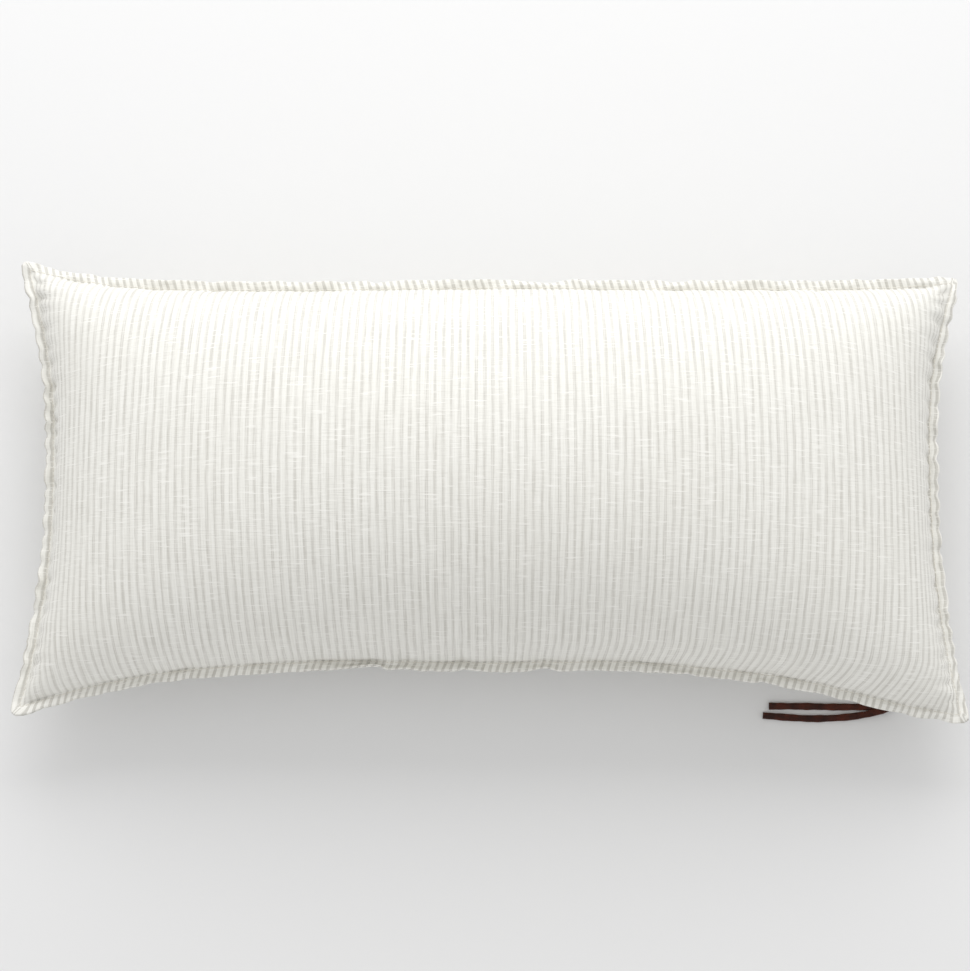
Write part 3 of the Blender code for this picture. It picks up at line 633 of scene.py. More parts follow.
def blown_up(item, rest):
    """Runs the cloth simulation and returns where the cloth's points end."""
    modifier = item.modifiers.new("cloth", "CLOTH")
    for name, value in CLOTH_SETTINGS.items():
        setattr(modifier.settings, name, value)
    modifier.settings.effector_weights.gravity = 0
    modifier.settings.rest_shape_key = rest
    modifier.collision_settings.use_collision = False
    modifier.collision_settings.use_self_collision = False
    modifier.point_cache.frame_end = CLOTH_FRAMES
    scene = bpy.context.scene
    scene.frame_start = 1
    scene.frame_end = CLOTH_FRAMES
    for step in range(1, CLOTH_FRAMES + 1):
        scene.frame_set(step)
    scene.view_layers[0].update()
    shaped = item.evaluated_get(bpy.context.evaluated_depsgraph_get()).data
    found = np.empty(len(shaped.vertices) * 3)
    shaped.vertices.foreach_get("co", found)
    scene.frame_set(1)
    return found.reshape(-1, 3)


def simulated_cover():
    """Front, back and flange as one cloth, blown up gently. Returns the two grids and the flange's rings."""
    front, back = front_grid(), back_grid()
    rows, columns = front.shape[:2]
    count = rows * columns
    number = np.arange(count).reshape(rows, columns)
    loop = border_loop(rows, columns)
    points = np.concatenate([front.reshape(-1, 3), back.reshape(-1, 3)])
    apart = np.full_like(GRID_U, PANELS_APART / 2)
    flat = np.concatenate(
        [
            np.stack([GRID_U * PANEL_HALF_X, GRID_V * PANEL_HALF_Y, height], axis=2).reshape(-1, 3)
            for height in (apart, -apart)
        ]
    )
    # The back shares the front's border points.
    same = np.arange(2 * count)
    same[loop + count] = loop
    faces = same[np.concatenate([grid_faces(rows, columns), grid_faces(rows, columns, count, True)])]
    rings = [loop]
    way = [np.where(np.abs(g.ravel()[loop]) > 0.9999, np.sign(g.ravel()[loop]), 0) for g in (GRID_U, GRID_V)]
    wave = edge_waves(len(loop))
    for k in range(1, FLANGE_CELLS + 1):
        out = FLANGE * k / FLANGE_CELLS
        step = np.stack([way[0] * out, way[1] * out, np.zeros(len(loop))], axis=1)
        ring = points[loop] + step
        ring[:, 2] += wave * k / FLANGE_CELLS
        last, now = rings[-1], np.arange(len(points), len(points) + len(loop))
        points = np.concatenate([points, ring])
        flat = np.concatenate([flat, flat[loop] + step])
        strip = np.stack([last, np.roll(last, -1), np.roll(now, -1), now], axis=1)
        faces = np.concatenate([faces, strip])
        rings.append(now)
    used = np.unique(faces)
    place_of = np.full(len(points), -1)
    place_of[used] = np.arange(len(used))
    points[:count, 2] += edge_lumps().ravel()
    item = placed("cover_cloth", new_mesh("cover_cloth", points[used], place_of[faces]))
    item.shape_key_add(name="Basis")
    rest = item.shape_key_add(name="flat")
    rest.data.foreach_set("co", flat[used].ravel())
    # Held: the zip's band, the patch that rests on the floor, and the four corners.
    band = (ROW_ARC > BAND_START - 0.002) & (ROW_ARC < BAND_END + 0.002) & (np.abs(GRID_U) < BAND_HELD)
    patch = (np.abs(back[..., 2]) < 1e-4) & (np.abs(GRID_U) < REST_HELD)
    held = np.concatenate([number[band | patch] + count, number[[0, 0, -1, -1], [0, -1, 0, -1]]])
    body = place_of[: 2 * count]
    for name, chosen in (("held", place_of[held]), ("filled", body[body >= 0])):
        item.vertex_groups.new(name=name).add(sorted(chosen.tolist()), 1.0, "REPLACE")
    points[used] = blown_up(item, rest)
    bpy.data.objects.remove(item)
    points[: 2 * count] = points[same]
    front, back = points[number], points[number + count]
    shift = outline_shift(front)
    front = onto_outline(front, shift, FRONT_FELT)
    back = onto_outline(back, shift, BACK_FELT)
    back[..., 2] = np.maximum(back[..., 2], 0.0)
    moved = front.reshape(-1, 3)[loop] - points[loop]
    made = [points[ring] + moved for ring in rings]
    for ring in made[1:]:
        for corner in loop_corners(rows, columns):
            ring[corner] += (made[0][corner] - ring[corner]) * CORNER_DRAWN_IN
    return front, back, made


FRONT, BACK, RINGS = simulated_cover()


# ---------------- flange, tucks and corners

ROWS, COLS = FRONT.shape[:2]
SIDES = [ROWS - 1, COLS - 1, ROWS - 1, COLS - 1]


def finer_ring(ring):
    """Doubles the points of a closed ring that has a sharp corner where the cover has one."""
    out, start = [], 0
    closed = np.concatenate([ring, ring[:1]])
    for length in SIDES:
        out.append(finer(closed[start : start + length + 1], 0)[:-1])
        start += length
    return np.concatenate(out)


FINE_ROWS, FINE_COLS = 2 * ROWS - 1, 2 * COLS - 1
FINE_U, FINE_V = finer(U, 0), finer(V, 0)
LOOP = border_loop(FINE_ROWS, FINE_COLS)
LOOP_I, LOOP_J = LOOP // FINE_COLS, LOOP % FINE_COLS
FRONT_FINE, BACK_FINE = fine_sheet(FRONT), fine_sheet(BACK)
# The flange's rings, from the stitch line out to the rim
SPOKES = np.stack([finer_ring(ring) for ring in RINGS])
# Which way is out at each point of the loop
LOOP_WAY = np.stack(
    [
        (LOOP_I == FINE_ROWS - 1) * 1.0 - (LOOP_I == 0) * 1.0,
        (LOOP_J == FINE_COLS - 1) * 1.0 - (LOOP_J == 0) * 1.0,
    ],
    axis=1,
)
# Where the stitching has drawn the cloth up: mean spacing of the tucks, their half width, how deep they
# dent the cover, and how far they draw in and lift the flange's rim. The short seams are drawn up most.
END_TUCKS = (0.0118, 0.0028, 0.0032, 0.0022, 0.0022)
LONG_TUCKS = (0.0270, 0.0050, 0.0010, 0.0010, 0.0010)
TUCK_PEAK = 0.0052
TUCK_ROWS = 14
# How far the flange's spokes slide towards a corner, from the nearest to the fifth on each side
CORNER_SLIDES = (0.0036, 0.0026, 0.0017, 0.0010, 0.0005)


def tucks(place, spacing, half_width):
    """How much each place along a seam is drawn up, and a copy in which each tuck has its own sign."""
    depth, signed = np.zeros_like(place), np.zeros_like(place)
    at = place[0] + spacing * 0.6
    while at < place[-1] - spacing * 0.5:
        bell = np.exp(-(((place - at) / (half_width * rng.uniform(0.8, 1.3))) ** 2)) * rng.uniform(0.45, 1.0)
        depth += bell
        signed += bell * rng.choice([-1.0, 1.0])
        at += spacing * rng.uniform(0.65, 1.35)
    return depth, signed


def gathered():
    """Draws up the cloth along the four seams: dents inside the stitch line, an uneven rim outside it."""
    start = 0
    for side, length in enumerate(SIDES):
        spacing, half_width, dent, drawn_in, lift = LONG_TUCKS if side % 2 == 0 else END_TUCKS
        seam = (np.arange(2 * length + 1) + start) % len(LOOP)
        line = SPOKES[0][seam]
        depth, signed = tucks(travelled(line), spacing, half_width)
        way = unit(SPOKES[-1][seam] - line) * (1, 1, 0)
        for ring in range(1, len(SPOKES)):
            share = ring / (len(SPOKES) - 1)
            SPOKES[ring][seam] -= way * (depth * drawn_in * share)[:, None]
            SPOKES[ring][seam, 2] += signed * lift * share
        for grid, out, amount in ((FRONT_FINE, 1, dent), (BACK_FINE, -1, dent * 0.5)):
            normal = grid_normals(grid) * out
            swept = grid
            if side in (0, 2):
                swept, normal = swept.transpose(1, 0, 2), normal.transpose(1, 0, 2)
            last = side in (1, 2)
            edge = swept[-1 if last else 0]
            along = depth if np.allclose(line[0], edge[0]) else depth[::-1]
            for row in range(1, TUCK_ROWS):
                k = len(swept) - 1 - row if last else row
                away = np.linalg.norm(swept[k] - edge, axis=1) / TUCK_PEAK
                swept[k] -= normal[k] * (along * amount * away * np.exp(1 - away))[:, None]
        start += 2 * length


def round_corners():
    """Spreads the flange's spokes round each corner."""
    for corner in loop_corners(FINE_ROWS, FINE_COLS):
        for ring in range(1, len(SPOKES)):
            share = ring / (len(SPOKES) - 1)
            for step in (1, -1):
                for k, slide in enumerate(CORNER_SLIDES, 1):
                    at = (corner + step * k) % len(LOOP)
                    SPOKES[ring][at] += unit(SPOKES[0][corner] - SPOKES[0][at]) * slide * share


gathered()
round_corners()


def flange_frame():
    """For each point of the loop: the way out across the flange, and the flange's upward normal."""
    out = unit(SPOKES[-1] - SPOKES[0])
    tangent = unit(np.roll(SPOKES[1], -1, axis=0) - np.roll(SPOKES[1], 1, axis=0))
    up = unit(np.cross(tangent, out))
    up *= np.where(up[:, 2:3] < 0, -1, 1)
    for _ in range(2):
        up = unit(up + (np.roll(up, 1, axis=0) + np.roll(up, -1, axis=0)) * 0.5)
    return out, up


FLANGE_OUT, FLANGE_UP = flange_frame()
HALF_FLANGE = 0.00110
RIM = 0.0006
INNER_RIM = 0.0002
# Half the gap between the flange's two layers, and the least height of a layer's outer side
HALF_GAP, LEAST_LIFT = 0.00006, 0.00008
# Across the flange: share of its width, height of a layer's outer side, and how far the rim curls.
ACROSS = [
    (0.00, 0.80, 0), (0.10, 0.74, 0), (0.20, 0.66, 0), (0.32, 0.86, 0), (0.46, 1.02, 0), (0.62, 1.08, 0),
    (0.78, 1.06, 0), (0.90, 1.00, 0), (0.96, 0.98, 30), (0.96, 0.98, 58), (0.96, 0.98, 84),
]


def across_flange(share):
    """The flange's own middle all round, at a share of its width."""
    place = share * (len(SPOKES) - 1)
    k = min(int(place), len(SPOKES) - 2)
    t = place - k
    return SPOKES[k] * (1 - t) + SPOKES[k + 1] * t


def flange_layer(side, inner):
    """The rings of one layer of the flange: its outer side, or the side that meets the other layer."""
    rings = []
    for share, height, curl in ACROSS:
        turn = math.radians(curl)
        lift = HALF_GAP if inner else max(height * HALF_FLANGE * math.cos(turn), LEAST_LIFT)
        out = (INNER_RIM if inner else RIM) * math.sin(turn)
        rings.append(across_flange(share) + FLANGE_UP * side * lift + FLANGE_OUT * out)
    return rings


# ---------------- the cover's pieces

EDGE_FALL = 0.012


def body_layer(grid, side, inner):
    """The cover's face over the filling, eased onto the flange's layer at the stitch line."""
    edge_x = (1 - np.abs(FINE_U))[:, None] * STITCH_X
    edge_y = (1 - np.abs(FINE_V))[None, :] * STITCH_Y
    near = np.clip(1 - np.minimum(edge_x, edge_y) / EDGE_FALL, 0, 1) ** 2
    outer_lift = HALF_FLANGE * ACROSS[0][1]
    lift = near * outer_lift
    if inner:
        lift = lift - CLOTH * (1 - near * 0.85)
    moved = (grid + grid_normals(grid) * side * lift[..., None]).reshape(-1, 3)
    moved[LOOP] = grid.reshape(-1, 3)[LOOP] + FLANGE_UP * side * (HALF_GAP if inner else outer_lift)
    return moved.reshape(grid.shape)


# The front's stripes lean to the middle just before the near seam, at the lace's end.
NEAR_BEND = 0.034
NEAR_BEND_REACH = 0.26
BACK_STRIPES_SHIFT = 0.0013
# How far the flange's stripes slant, as a share of its width, and how much of it the curled rim takes up
FLANGE_SLANT = 0.30
CURL_SHARE = 1 / 900


def panel_uv(side):
    """The flat place of each point of a face and of its flange's rings."""
    u, v = np.meshgrid(FINE_U, FINE_V, indexing="ij")
    body = np.stack([u * PANEL_HALF_X + (0.0 if side > 0 else BACK_STRIPES_SHIFT), v * PANEL_HALF_Y], axis=2)
    if side > 0:
        bend = NEAR_BEND * smooth((-v - 1 + NEAR_BEND_REACH) / NEAR_BEND_REACH)
        body[..., 0] += np.maximum(body[..., 0], 0) * bend
    rings = []
    for share, _, curl in ACROSS:
        ring = body.reshape(-1, 2)[LOOP] + LOOP_WAY * FLANGE * (share + curl * CURL_SHARE)
        ring[:, 0] += np.abs(LOOP_WAY[:, 1]) * FLANGE * share * FLANGE_SLANT
        rings.append(ring)
    return body, rings


def panel(name, grids, layers, uvs, columns, on_loop, side, node):
    """One cut piece of the cover: some columns of a grid, with its stretch of the flange, as a closed
    sheet. grids and layers hold (outer, inner), and uvs holds (grid, rings)."""
    low, high = columns
    width = high - low
    number = np.arange(FINE_ROWS * width).reshape(FINE_ROWS, width)
    faces = list(grid_faces(FINE_ROWS, width, 0, side < 0))
    stretch = np.nonzero(on_loop)[0]
    # The point numbers of each ring of the flange, by place in the loop
    rings = [{k: int(number[LOOP_I[k], LOOP_J[k] - low]) for k in stretch}]
    for ring in range(len(ACROSS) - 1):
        start = FINE_ROWS * width + ring * len(stretch)
        rings.append({k: start + n for n, k in enumerate(stretch)})
    for inward, outward in zip(rings, rings[1:]):
        for k in stretch:
            after = (k + 1) % len(LOOP)
            if on_loop[after]:
                quad = (inward[after], inward[k], outward[k], outward[after])
                faces.append(quad if side > 0 else quad[::-1])
    uv_grid, uv_rings = uvs
    points = []
    for grid, layer in zip(grids, layers, strict=True):
        points.append(np.concatenate([grid[:, low:high].reshape(-1, 3), *[r[stretch] for r in layer[1:]]]))
    pairs = np.concatenate([uv_grid[:, low:high].reshape(-1, 2), *[r[stretch] for r in uv_rings[1:]]])
    count = len(points[0])
    edges = dict.fromkeys((int(face[k]), int(face[(k + 1) % 4])) for face in faces for k in range(4))
    sides = [(b, a, a + count, b + count) for a, b in edges if (b, a) not in edges]
    faces += [tuple(int(i) + count for i in face[::-1]) for face in faces]
    item = mesh_object(
        name, np.concatenate(points), [*faces, *sides], LINEN, "pillow", np.tile(pairs, (2, 1))
    )
    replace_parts(item, node)
    return item


def zip_point(x, across, out):
    """A point in the zip band's own space: X along the pillow, across the band, and out of the cloth."""
    y = ZIP_Y - across * math.cos(ZIP_TILT) - out * math.sin(ZIP_TILT)
    z = ZIP_HEIGHT + across * math.sin(ZIP_TILT) - out * math.cos(ZIP_TILT)
    return np.stack([np.broadcast_to(x, np.shape(y)), y, z], axis=-1)


OPENING_END = ZIP_HALF - 0.0005
OPENING_CLOSES_IN = 0.010
CLOSED_GAP = 0.0002
MIDDLE_COLUMN = 2 * (NEAR_LIP_ROW + 1)


def lip_lines(grid, inward):
    """The last two lines of a back panel along the zip, closing to a sewn joint past the opening's ends."""
    centre = grid[:, MIDDLE_COLUMN]
    shut = smooth((np.abs(centre[:, :1]) - OPENING_END) / OPENING_CLOSES_IN)
    lip = grid[:, MIDDLE_COLUMN - inward * 2]
    beside = grid[:, MIDDLE_COLUMN - inward * 3]
    folded = mix(lip, centre + unit(lip - centre) * CLOSED_GAP, shut)
    second = mix(mix(lip, beside, 0.4), mix(centre, lip, 0.45), shut)
    return second, folded


def build_cover():
    """The front and the two back panels. Returns the front."""
    middle = MIDDLE_COLUMN
    grids = [body_layer(FRONT_FINE, 1, inner) for inner in (False, True)]
    layers = [flange_layer(1, inner) for inner in (False, True)]
    everywhere = np.ones(len(LOOP), bool)
    front = panel(
        "cover_front_linen", grids, layers, panel_uv(1), (0, FINE_COLS), everywhere, 1, "cover_front"
    )
    layers = [flange_layer(-1, inner) for inner in (False, True)]
    for name, inward, columns, on_loop, node in (
        ("cover_back_strip_linen", 1, (0, middle + 1), LOOP_J <= middle, "cover_back_zip_strip"),
        ("cover_back_main_linen", -1, (middle, FINE_COLS), LOOP_J >= middle, "cover_back_main"),
    ):
        grid = BACK_FINE.copy()
        grid[:, middle - inward], grid[:, middle] = lip_lines(BACK_FINE, inward)
        grids = [body_layer(grid, -1, inner) for inner in (False, True)]
        for g in grids:
            g[..., 2] = np.maximum(g[..., 2], 0.0)
        panel(name, grids, layers, panel_uv(-1), columns, on_loop, -1, node)
    return front


# ---------------- stitching

FLANGE_STITCH_SHARE = 0.21
ZIP_STITCH_ACROSS = 0.00825
ZIP_END = ZIP_HALF + 0.005


def stitches(name, line, up, node, pitch=0.0034, gap=0.0007, radius=0.00026, sink=0.00030):
    """Separate stitches along a line: each rises out of the cloth, runs and goes back in."""
    lengths_along = travelled(line)
    count = int(lengths_along[-1] / pitch)
    pitch = lengths_along[-1] / count
    shares = np.array([0.0, 0.10, 0.30, 0.70, 0.90, 1.0])
    lifts = np.array([-1.0, -0.15, 0.0, 0.0, -0.15, -1.0]) * sink
    swell = np.array([0.75, 0.95, 1.0, 1.0, 0.95, 0.75]) * radius
    turns = np.arange(7) / 7 * 2 * math.pi
    starts = np.arange(count) * pitch + gap / 2 + rng.normal(0, 0.00007, count)
    lengths = (pitch - gap) * (1 + rng.normal(0, 0.025, count))
    where = starts[:, None] + lengths[:, None] * shares[None, :]
    centre = points_at(line, lengths_along, where)
    normal = unit(points_at(up, lengths_along, where))
    drift = rng.normal(0, 0.00005, count)[:, None, None]
    beside = unit(np.cross(unit(np.gradient(centre, axis=1)), normal))
    centre = centre + normal * (lifts[None, :, None] + radius * 0.55) + beside * drift
    rings = (
        centre[:, :, None, :]
        + beside[:, :, None, :] * (np.cos(turns) * swell[:, None])[None, :, :, None]
        + normal[:, :, None, :] * (np.sin(turns) * swell[:, None])[None, :, :, None]
    )
    one = [face[::-1] for face in tube_faces(len(shares), len(turns))]
    size = len(shares) * len(turns)
    faces = [tuple(i + s * size for i in face) for s in range(count) for face in one]
    item = mesh_object(name, rings.reshape(-1, 3), faces, THREAD, "pillow")
    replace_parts(item, node)


def build_stitching():
    for side, where in ((1, "front"), (-1, "back")):
        line = across_flange(FLANGE_STITCH_SHARE) + FLANGE_UP * side * HALF_FLANGE * 0.66
        closed, up = (np.concatenate([ring, ring[:1]]) for ring in (line, FLANGE_UP * side))
        stitches(f"flange_stitches_{where}", closed, up, f"flange_topstitch_{where}")
    x = np.linspace(-ZIP_END, ZIP_END, 160)
    for side, where in ((1, "upper"), (-1, "lower")):
        line = zip_point(x, np.full(len(x), side * ZIP_STITCH_ACROSS), 0.00030)
        up = np.broadcast_to(np.array([0, -math.sin(ZIP_TILT), -math.cos(ZIP_TILT)]), line.shape)
        stitches(f"zip_stitches_{where}", line, up, f"zip_topstitch_{where}", pitch=0.0030)


# ---------------- zip and slider

# The tape's inner and outer edge, across from the zip's middle, and its two faces, in from the cloth
TAPE_EDGES = (0.0012, 0.0150)
TAPE_TOP, TAPE_UNDER = -0.00132, -0.00188
# The coil's loops: how far they are from the zip's middle, half their height, and the space at each end
COIL_HEAD, COIL_HEEL = 0.00035, 0.0030
COIL_HALF_HEIGHT = 0.00066
COIL_SPACE_LOW, COIL_SPACE_HIGH = 0.0055, 0.0037


def build_zip():
    x = np.linspace(-ZIP_END, ZIP_END, 241)
    for side, where in ((1, "upper"), (-1, "lower")):
        y = side * np.linspace(*TAPE_EDGES, 9)[::side]
        xs, ys = np.meshgrid(x, y, indexing="ij")
        wave = 0.00005 * np.sin(xs * 160 + ys * 300)
        top, under = zip_point(xs, ys, TAPE_TOP + wave), zip_point(xs, ys, TAPE_UNDER + wave)
        uv = np.stack([xs, ys], axis=2)
        tape = double_sheet(f"zip_tape_{where}_weave", top, under, TAPE, uv, uv_name="strip")
        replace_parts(tape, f"zip_tape_{where}")
        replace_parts(coil(f"zip_coil_{where}_turns", side), f"zip_coil_{where}")


def rounded_square(value, power):
    return np.sign(value) * np.abs(value) ** power


def coil(name, side, pitch=0.0013, radius=0.00030, per_turn=12, around=6):
    """One side of the chain: a flattened spiral whose loops reach towards the other side's."""
    low, high = -ZIP_HALF + COIL_SPACE_LOW, ZIP_HALF - COIL_SPACE_HIGH
    turns = int((high - low) / pitch) - 1
    phase = np.arange(turns * per_turn + 1) / per_turn * 2 * math.pi
    head, heel = COIL_HEAD + radius, COIL_HEEL - radius
    y = (head + heel) / 2 + (heel - head) / 2 * rounded_square(np.cos(phase), 0.7)
    z = COIL_HALF_HEIGHT * rounded_square(np.sin(phase), 0.7)
    x = low + radius + phase / (2 * math.pi) * pitch + (pitch / 2 if side < 0 else 0)
    path = zip_point(x, side * y, z)
    tangent = unit(np.gradient(path, axis=0))
    first = unit(np.cross(tangent, np.array([1.0, 0, 0])))
    second = np.cross(tangent, first)
    angles = (np.arange(around) / around * 2 * math.pi)[None, :, None]
    spoke = first[:, None, :] * np.cos(angles) + second[:, None, :] * np.sin(angles)
    ring = path[:, None, :] + radius * spoke
    return mesh_object(name, ring.reshape(-1, 3), tube_faces(len(path), around), COIL, "pillow")


def worn_metal(node, material, width):
    """A CAD node kept as it is, with its edges rounded over and a worn metal on it."""
    item = frame["nodes"][node]
    item.data.materials.clear()
    item.data.materials.append(material)
    edge = item.modifiers.new("edges", "BEVEL")
    edge.width = width
    edge.segments = 3
    edge.limit_method = "ANGLE"
    edge.harden_normals = False
    item.data.polygons.foreach_set("use_smooth", [False] * len(item.data.polygons))


def build_slider():
    worn_metal("slider_body", BRASS, 0.00035)
    worn_metal("pull_tab", BRASS, 0.00028)


def build_stops():
    for name in ("zip_top_stop_upper", "zip_top_stop_lower", "zip_bottom_stop"):
        worn_metal(name, STOP, 0.00035)


# ---------------- lace

LACE_WIDTH = 0.0044
LACE_THICK = 0.0018
LACE_REST_TILT = math.radians(60 - 90)
# Points of the two tails from where they leave the hitch, as in the CAD: X and Y from there, Z from the floor
LOW_ROUTE = [
    (0.0086, -0.0045, 0.0036), (0.0166, -0.0115, 0.0016), (0.0208, -0.0196, 0.00095),
    (0.0176, -0.0262, 0.00095), (0.0090, -0.0300, 0.00095), (-0.0110, -0.0307, 0.00095),
    (-0.0360, -0.0303, 0.00095), (-0.0589, -0.0301, 0.00095),
]
HIGH_ROUTE = [
    (0.0094, -0.0036, 0.0062), (0.0182, -0.0106, 0.0040), (0.0232, -0.0199, 0.0032),
    (0.0204, -0.0290, 0.0030), (0.0112, -0.0334, 0.0028), (-0.0060, -0.0368, 0.0012),
    (-0.0286, -0.0381, 0.00095), (-0.0460, -0.0374, 0.00095), (-0.0628, -0.0361, 0.00095),
]
TAIL_OFFSET = 0.00105
TAIL_TURNS_IN = 0.022
# The hitch, along the lace from the tip bar: where its loop's strands start, its wrap's place and its end
LOOP_START, WRAP_AT, HITCH_END = 0.0034, 0.0056, 0.00766
BAR_RADIUS = 0.00136
LOOP_OPENING = 28
WRAP_ROOM = 0.00035
WRAP_WIDTH, WRAP_THICK = 0.0022, 0.0009


def lace_frame():
    """The lace's own space: the tab's tip bar at its middle, X along the lace as it leaves the hitch."""
    joint = next(j for j in frame["joints"] if j["name"] == "lace_swing")
    cos, sin = math.cos(ZIP_TILT), math.sin(ZIP_TILT)
    band = Matrix(((1, 0, 0), (0, -cos, sin), (0, -sin, -cos))).transposed().to_4x4()
    return Matrix.Translation(Vector(joint["pos_m"])) @ band @ Matrix.Rotation(LACE_REST_TILT, 4, "Y")


def strap(name, path, sideways, width, thick, squareness=0.35, around=16):
    """A flat leather strap swept along a path. sideways holds the strap's width direction."""
    path = np.asarray(path)
    tangent = unit(np.gradient(path, axis=0))
    side = unit(sideways - tangent * np.sum(sideways * tangent, axis=1, keepdims=True))
    up = np.cross(side, tangent)
    angles = np.arange(around) / around * 2 * math.pi
    cx = rounded_square(np.cos(angles), squareness) * width / 2
    cz = rounded_square(np.sin(angles), squareness) * thick / 2
    lengths = travelled(path)
    uneven = 1 + 0.05 * np.sin(lengths * 310 + len(name)) + 0.03 * np.sin(lengths * 780)
    points = (
        path[:, None, :]
        + side[:, None, :] * (cx[None, :, None] * uneven[:, None, None])
        + up[:, None, :] * cz[None, :, None]
    ).reshape(-1, 3)
    pairs = np.stack(np.broadcast_arrays(lengths[:, None], (cx / (width / 2))[None, :]), axis=2)
    faces = tube_faces(len(path), around)
    return mesh_object(name, points, faces, LEATHER, "lace", pairs.reshape(-1, 2), "strap")


def even_path(points, spacing):
    """A smooth path through a few points, with even steps, and its length."""
    points = np.asarray(points, float)
    fine = along_curve(points, np.linspace(0, len(points) - 1, 40 * len(points)))
    lengths = travelled(fine)
    wanted = np.linspace(0, lengths[-1], int(round(lengths[-1] / spacing)) + 1)
    return points_at(fine, lengths, wanted), lengths[-1]


def build_lace():
    space = lace_frame()
    exit_point = np.array(space @ Vector((HITCH_END, 0, 0)))
    across = np.array(space.to_3x3() @ Vector((0, 1, 0)))
    for name, route, offset, node in (
        ("lace_inner_strand", LOW_ROUTE, TAIL_OFFSET, "lace_tail_inner"),
        ("lace_outer_strand", HIGH_ROUTE, -TAIL_OFFSET, "lace_tail_outer"),
    ):
        begin = [np.array(space @ Vector((HITCH_END + step, 0, offset))) for step in (0.0003, 0.0023)]
        points = begin + [np.array([exit_point[0] + x, exit_point[1] + y, z]) for x, y, z in route]
        path, length = even_path(points, 0.0008)
        tangent = unit(np.gradient(path, axis=0))
        level = unit(np.cross(tangent, np.array([0, 0, 1.0])))
        start = across if np.dot(across, level[0]) > 0 else -across
        share = smooth(np.linspace(0, length, len(path)) / TAIL_TURNS_IN)[:, None]
        item = strap(name, path, unit(mix(start[None, :], level, share)), LACE_WIDTH, LACE_THICK)
        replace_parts(item, node)
    build_hitch(space, across)


def build_hitch(space, across):
    """The lace's loop round the tip bar, and a wrap that holds its two strands together."""
    radius = BAR_RADIUS + LACE_THICK / 2
    turn = np.radians(np.linspace(LOOP_OPENING, 360 - LOOP_OPENING, 40))
    loop = [(math.cos(a) * radius, 0, math.sin(a) * radius) for a in turn]
    out = [(x, 0, 0.00100) for x in np.linspace(HITCH_END, LOOP_START, 7)]
    back = [(x, 0, -0.00100) for x in np.linspace(LOOP_START, HITCH_END, 7)]
    path = np.array([space @ Vector(p) for p in out + loop + back])
    sideways = np.broadcast_to(across, path.shape)
    ring = strap("lace_hitch_loop", path, sideways, LACE_WIDTH, LACE_THICK)
    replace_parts(ring, "lace_hitch")
    around = np.radians(np.linspace(0, 352, 48))
    wrap = np.stack(
        [
            WRAP_AT + 0.0004 * around / 6.3,
            (LACE_WIDTH / 2 + WRAP_ROOM) * rounded_square(np.cos(around), 0.45),
            (LACE_THICK + WRAP_ROOM) * rounded_square(np.sin(around), 0.45),
        ],
        axis=1,
    )
    path = np.array([space @ Vector(p) for p in wrap])
    along = np.array(space.to_3x3() @ Vector((1, 0, 0)))
    strap("lace_hitch_wrap", path, np.broadcast_to(along, path.shape), WRAP_WIDTH, WRAP_THICK)


# ---------------- insert and labels

# The insert's case and filling: how far each surface lies inside the cover, and how far its rim is drawn in
CASE_OUTER, CASE_INNER, FILLING = (0.0030, 0.0060), (0.0037, 0.0067), (0.0046, 0.0085)
CASE_SEAM_LIFT = 0.0006
LABEL_OUTER, LABEL_INNER = 0.0015, 0.0020


def inside_cover(grid, side, depth, rim):
    """A smoothed copy of one face, moved in by depth, whose border is drawn in by rim."""
    g = relaxed(grid, 6)
    u, v = GRID_U, GRID_V
    pull = np.stack([u * np.abs(u) ** 6 * rim, v * np.abs(v) ** 6 * rim, np.zeros_like(u)], axis=2)
    return g - grid_normals(g) * side * depth - pull


def build_insert():
    uv = np.stack([GRID_U * PANEL_HALF_X, GRID_V * PANEL_HALF_Y], axis=2)
    for side, grid, where in ((1, FRONT, "front"), (-1, BACK, "back")):
        lift = CASE_SEAM_LIFT * side
        outer = inside_cover(grid, side, *CASE_OUTER) + (0, 0, lift)
        inner = inside_cover(grid, side, *CASE_INNER) + (0, 0, lift * 0.5)
        name = f"insert_case_{where}"
        item = double_sheet(f"{name}_cotton", outer, inner, INSERT, uv, side < 0)
        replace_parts(item, name)
    top, under = (inside_cover(grid, side, *FILLING) for side, grid in ((1, FRONT), (-1, BACK)))
    count = ROWS * COLS
    loop = border_loop(ROWS, COLS)
    points = np.concatenate([top.reshape(-1, 3), under.reshape(-1, 3)])
    points[loop] = (points[loop] + points[loop + count]) / 2
    same = np.arange(2 * count)
    same[loop + count] = loop
    faces = same[np.concatenate([grid_faces(ROWS, COLS), grid_faces(ROWS, COLS, count, True)])]
    used, faces = np.unique(faces, return_inverse=True)
    item = mesh_object("insert_filling_fibre", points[used], faces.reshape(-1, 4), FILL, "pillow")
    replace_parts(item, "insert_filling")


def label(name, grid, side, u, v, size, node):
    """A label inside one face, from a place (u, v) on, over some cells of the grid."""
    low_u, low_v = int(np.argmin(np.abs(U - u))), int(np.argmin(np.abs(V - v)))
    cut = (slice(low_u, low_u + size[0]), slice(low_v, low_v + size[1]))
    g = relaxed(grid, 3)
    normal = grid_normals(g) * side
    outer, inner = (fine_sheet((g - normal * depth)[cut]) for depth in (LABEL_OUTER, LABEL_INNER))
    item = double_sheet(name, outer, inner, SATIN, outer[..., :2], side < 0)
    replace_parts(item, node)


def build_labels():
    label("care_label_satin", BACK, -1, -0.80, -0.35, (6, 7), "care_label")
    label("insert_label_satin", FRONT, 1, 0.75, 0.10, (7, 8), "insert_label")


# ---------------- stage, light and camera

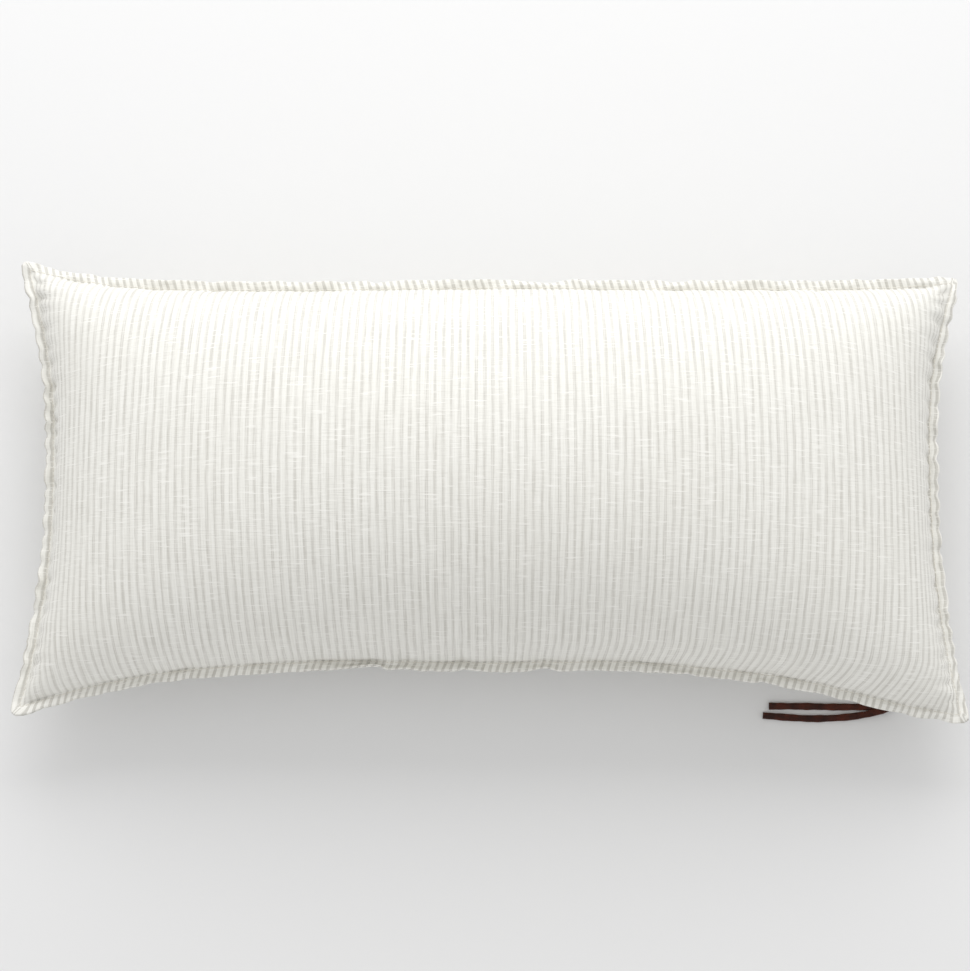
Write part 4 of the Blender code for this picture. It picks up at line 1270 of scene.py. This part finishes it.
FLOOR_HALF = 5
FLOOR_DROP = 0.0002
WORLD_STRENGTH = 0.78
CAMERA_TILT = math.radians(6.0)
CAMERA_DISTANCE = 2.35
CAMERA_AIM = Vector((-0.0034, 0.0008, SEAM_HEIGHT - 0.006))
VIEW_WIDTH = 0.609
SENSOR_WIDTH = 36.0


def build_stage():
    corners = [(x * FLOOR_HALF, y * FLOOR_HALF, 0) for x, y in ((-1, -1), (1, -1), (1, 1), (-1, 1))]
    mesh = new_mesh("floor", corners, [(0, 1, 2, 3)])
    paint = Nodes("floor_paint").finish(Base_Color=(0.81, 0.81, 0.81), Roughness=0.6, Specular_IOR_Level=0.2)
    mesh.materials.append(paint)
    floor = placed("floor", mesh)
    floor.location.z = -FLOOR_DROP


def area_light(name, at, aim, size, power):
    data = bpy.data.lights.new(name, "AREA")
    data.shape = "RECTANGLE"
    data.size, data.size_y = size
    data.energy = power
    item = placed(name, data)
    item.location = at
    item.rotation_euler = (Vector(aim) - Vector(at)).to_track_quat("-Z", "Y").to_euler()


def build_light():
    world = bpy.data.worlds.new("studio")
    world.use_nodes = True
    background = world.node_tree.nodes["Background"]
    background.inputs["Color"].default_value = (1.0, 1.0, 1.0, 1.0)
    background.inputs["Strength"].default_value = WORLD_STRENGTH
    bpy.context.scene.world = world
    area_light("window", (0.0, 1.75, 1.62), (0.0, 0.0, 0.05), (2.2, 1.2), 25.0)
    area_light("low_window", (0.0, 1.60, 0.50), (0.0, 0.0, 0.08), (1.8, 0.5), 5.5)
    bpy.context.scene.view_settings.view_transform = "Standard"


def build_camera():
    data = bpy.data.cameras.new("camera")
    data.sensor_width = SENSOR_WIDTH
    data.lens = SENSOR_WIDTH * CAMERA_DISTANCE / VIEW_WIDTH
    data.dof.use_dof = False
    item = placed("camera", data)
    away = Vector((0, -math.sin(CAMERA_TILT), math.cos(CAMERA_TILT)))
    item.location = CAMERA_AIM + away * CAMERA_DISTANCE
    item.rotation_euler = (CAMERA_TILT, 0, 0)
    bpy.context.scene.camera = item


build_camera()
build_lace()
build_slider()
build_cover()
build_stitching()
build_zip()
build_stops()
build_insert()
build_labels()
build_stage()
build_light()
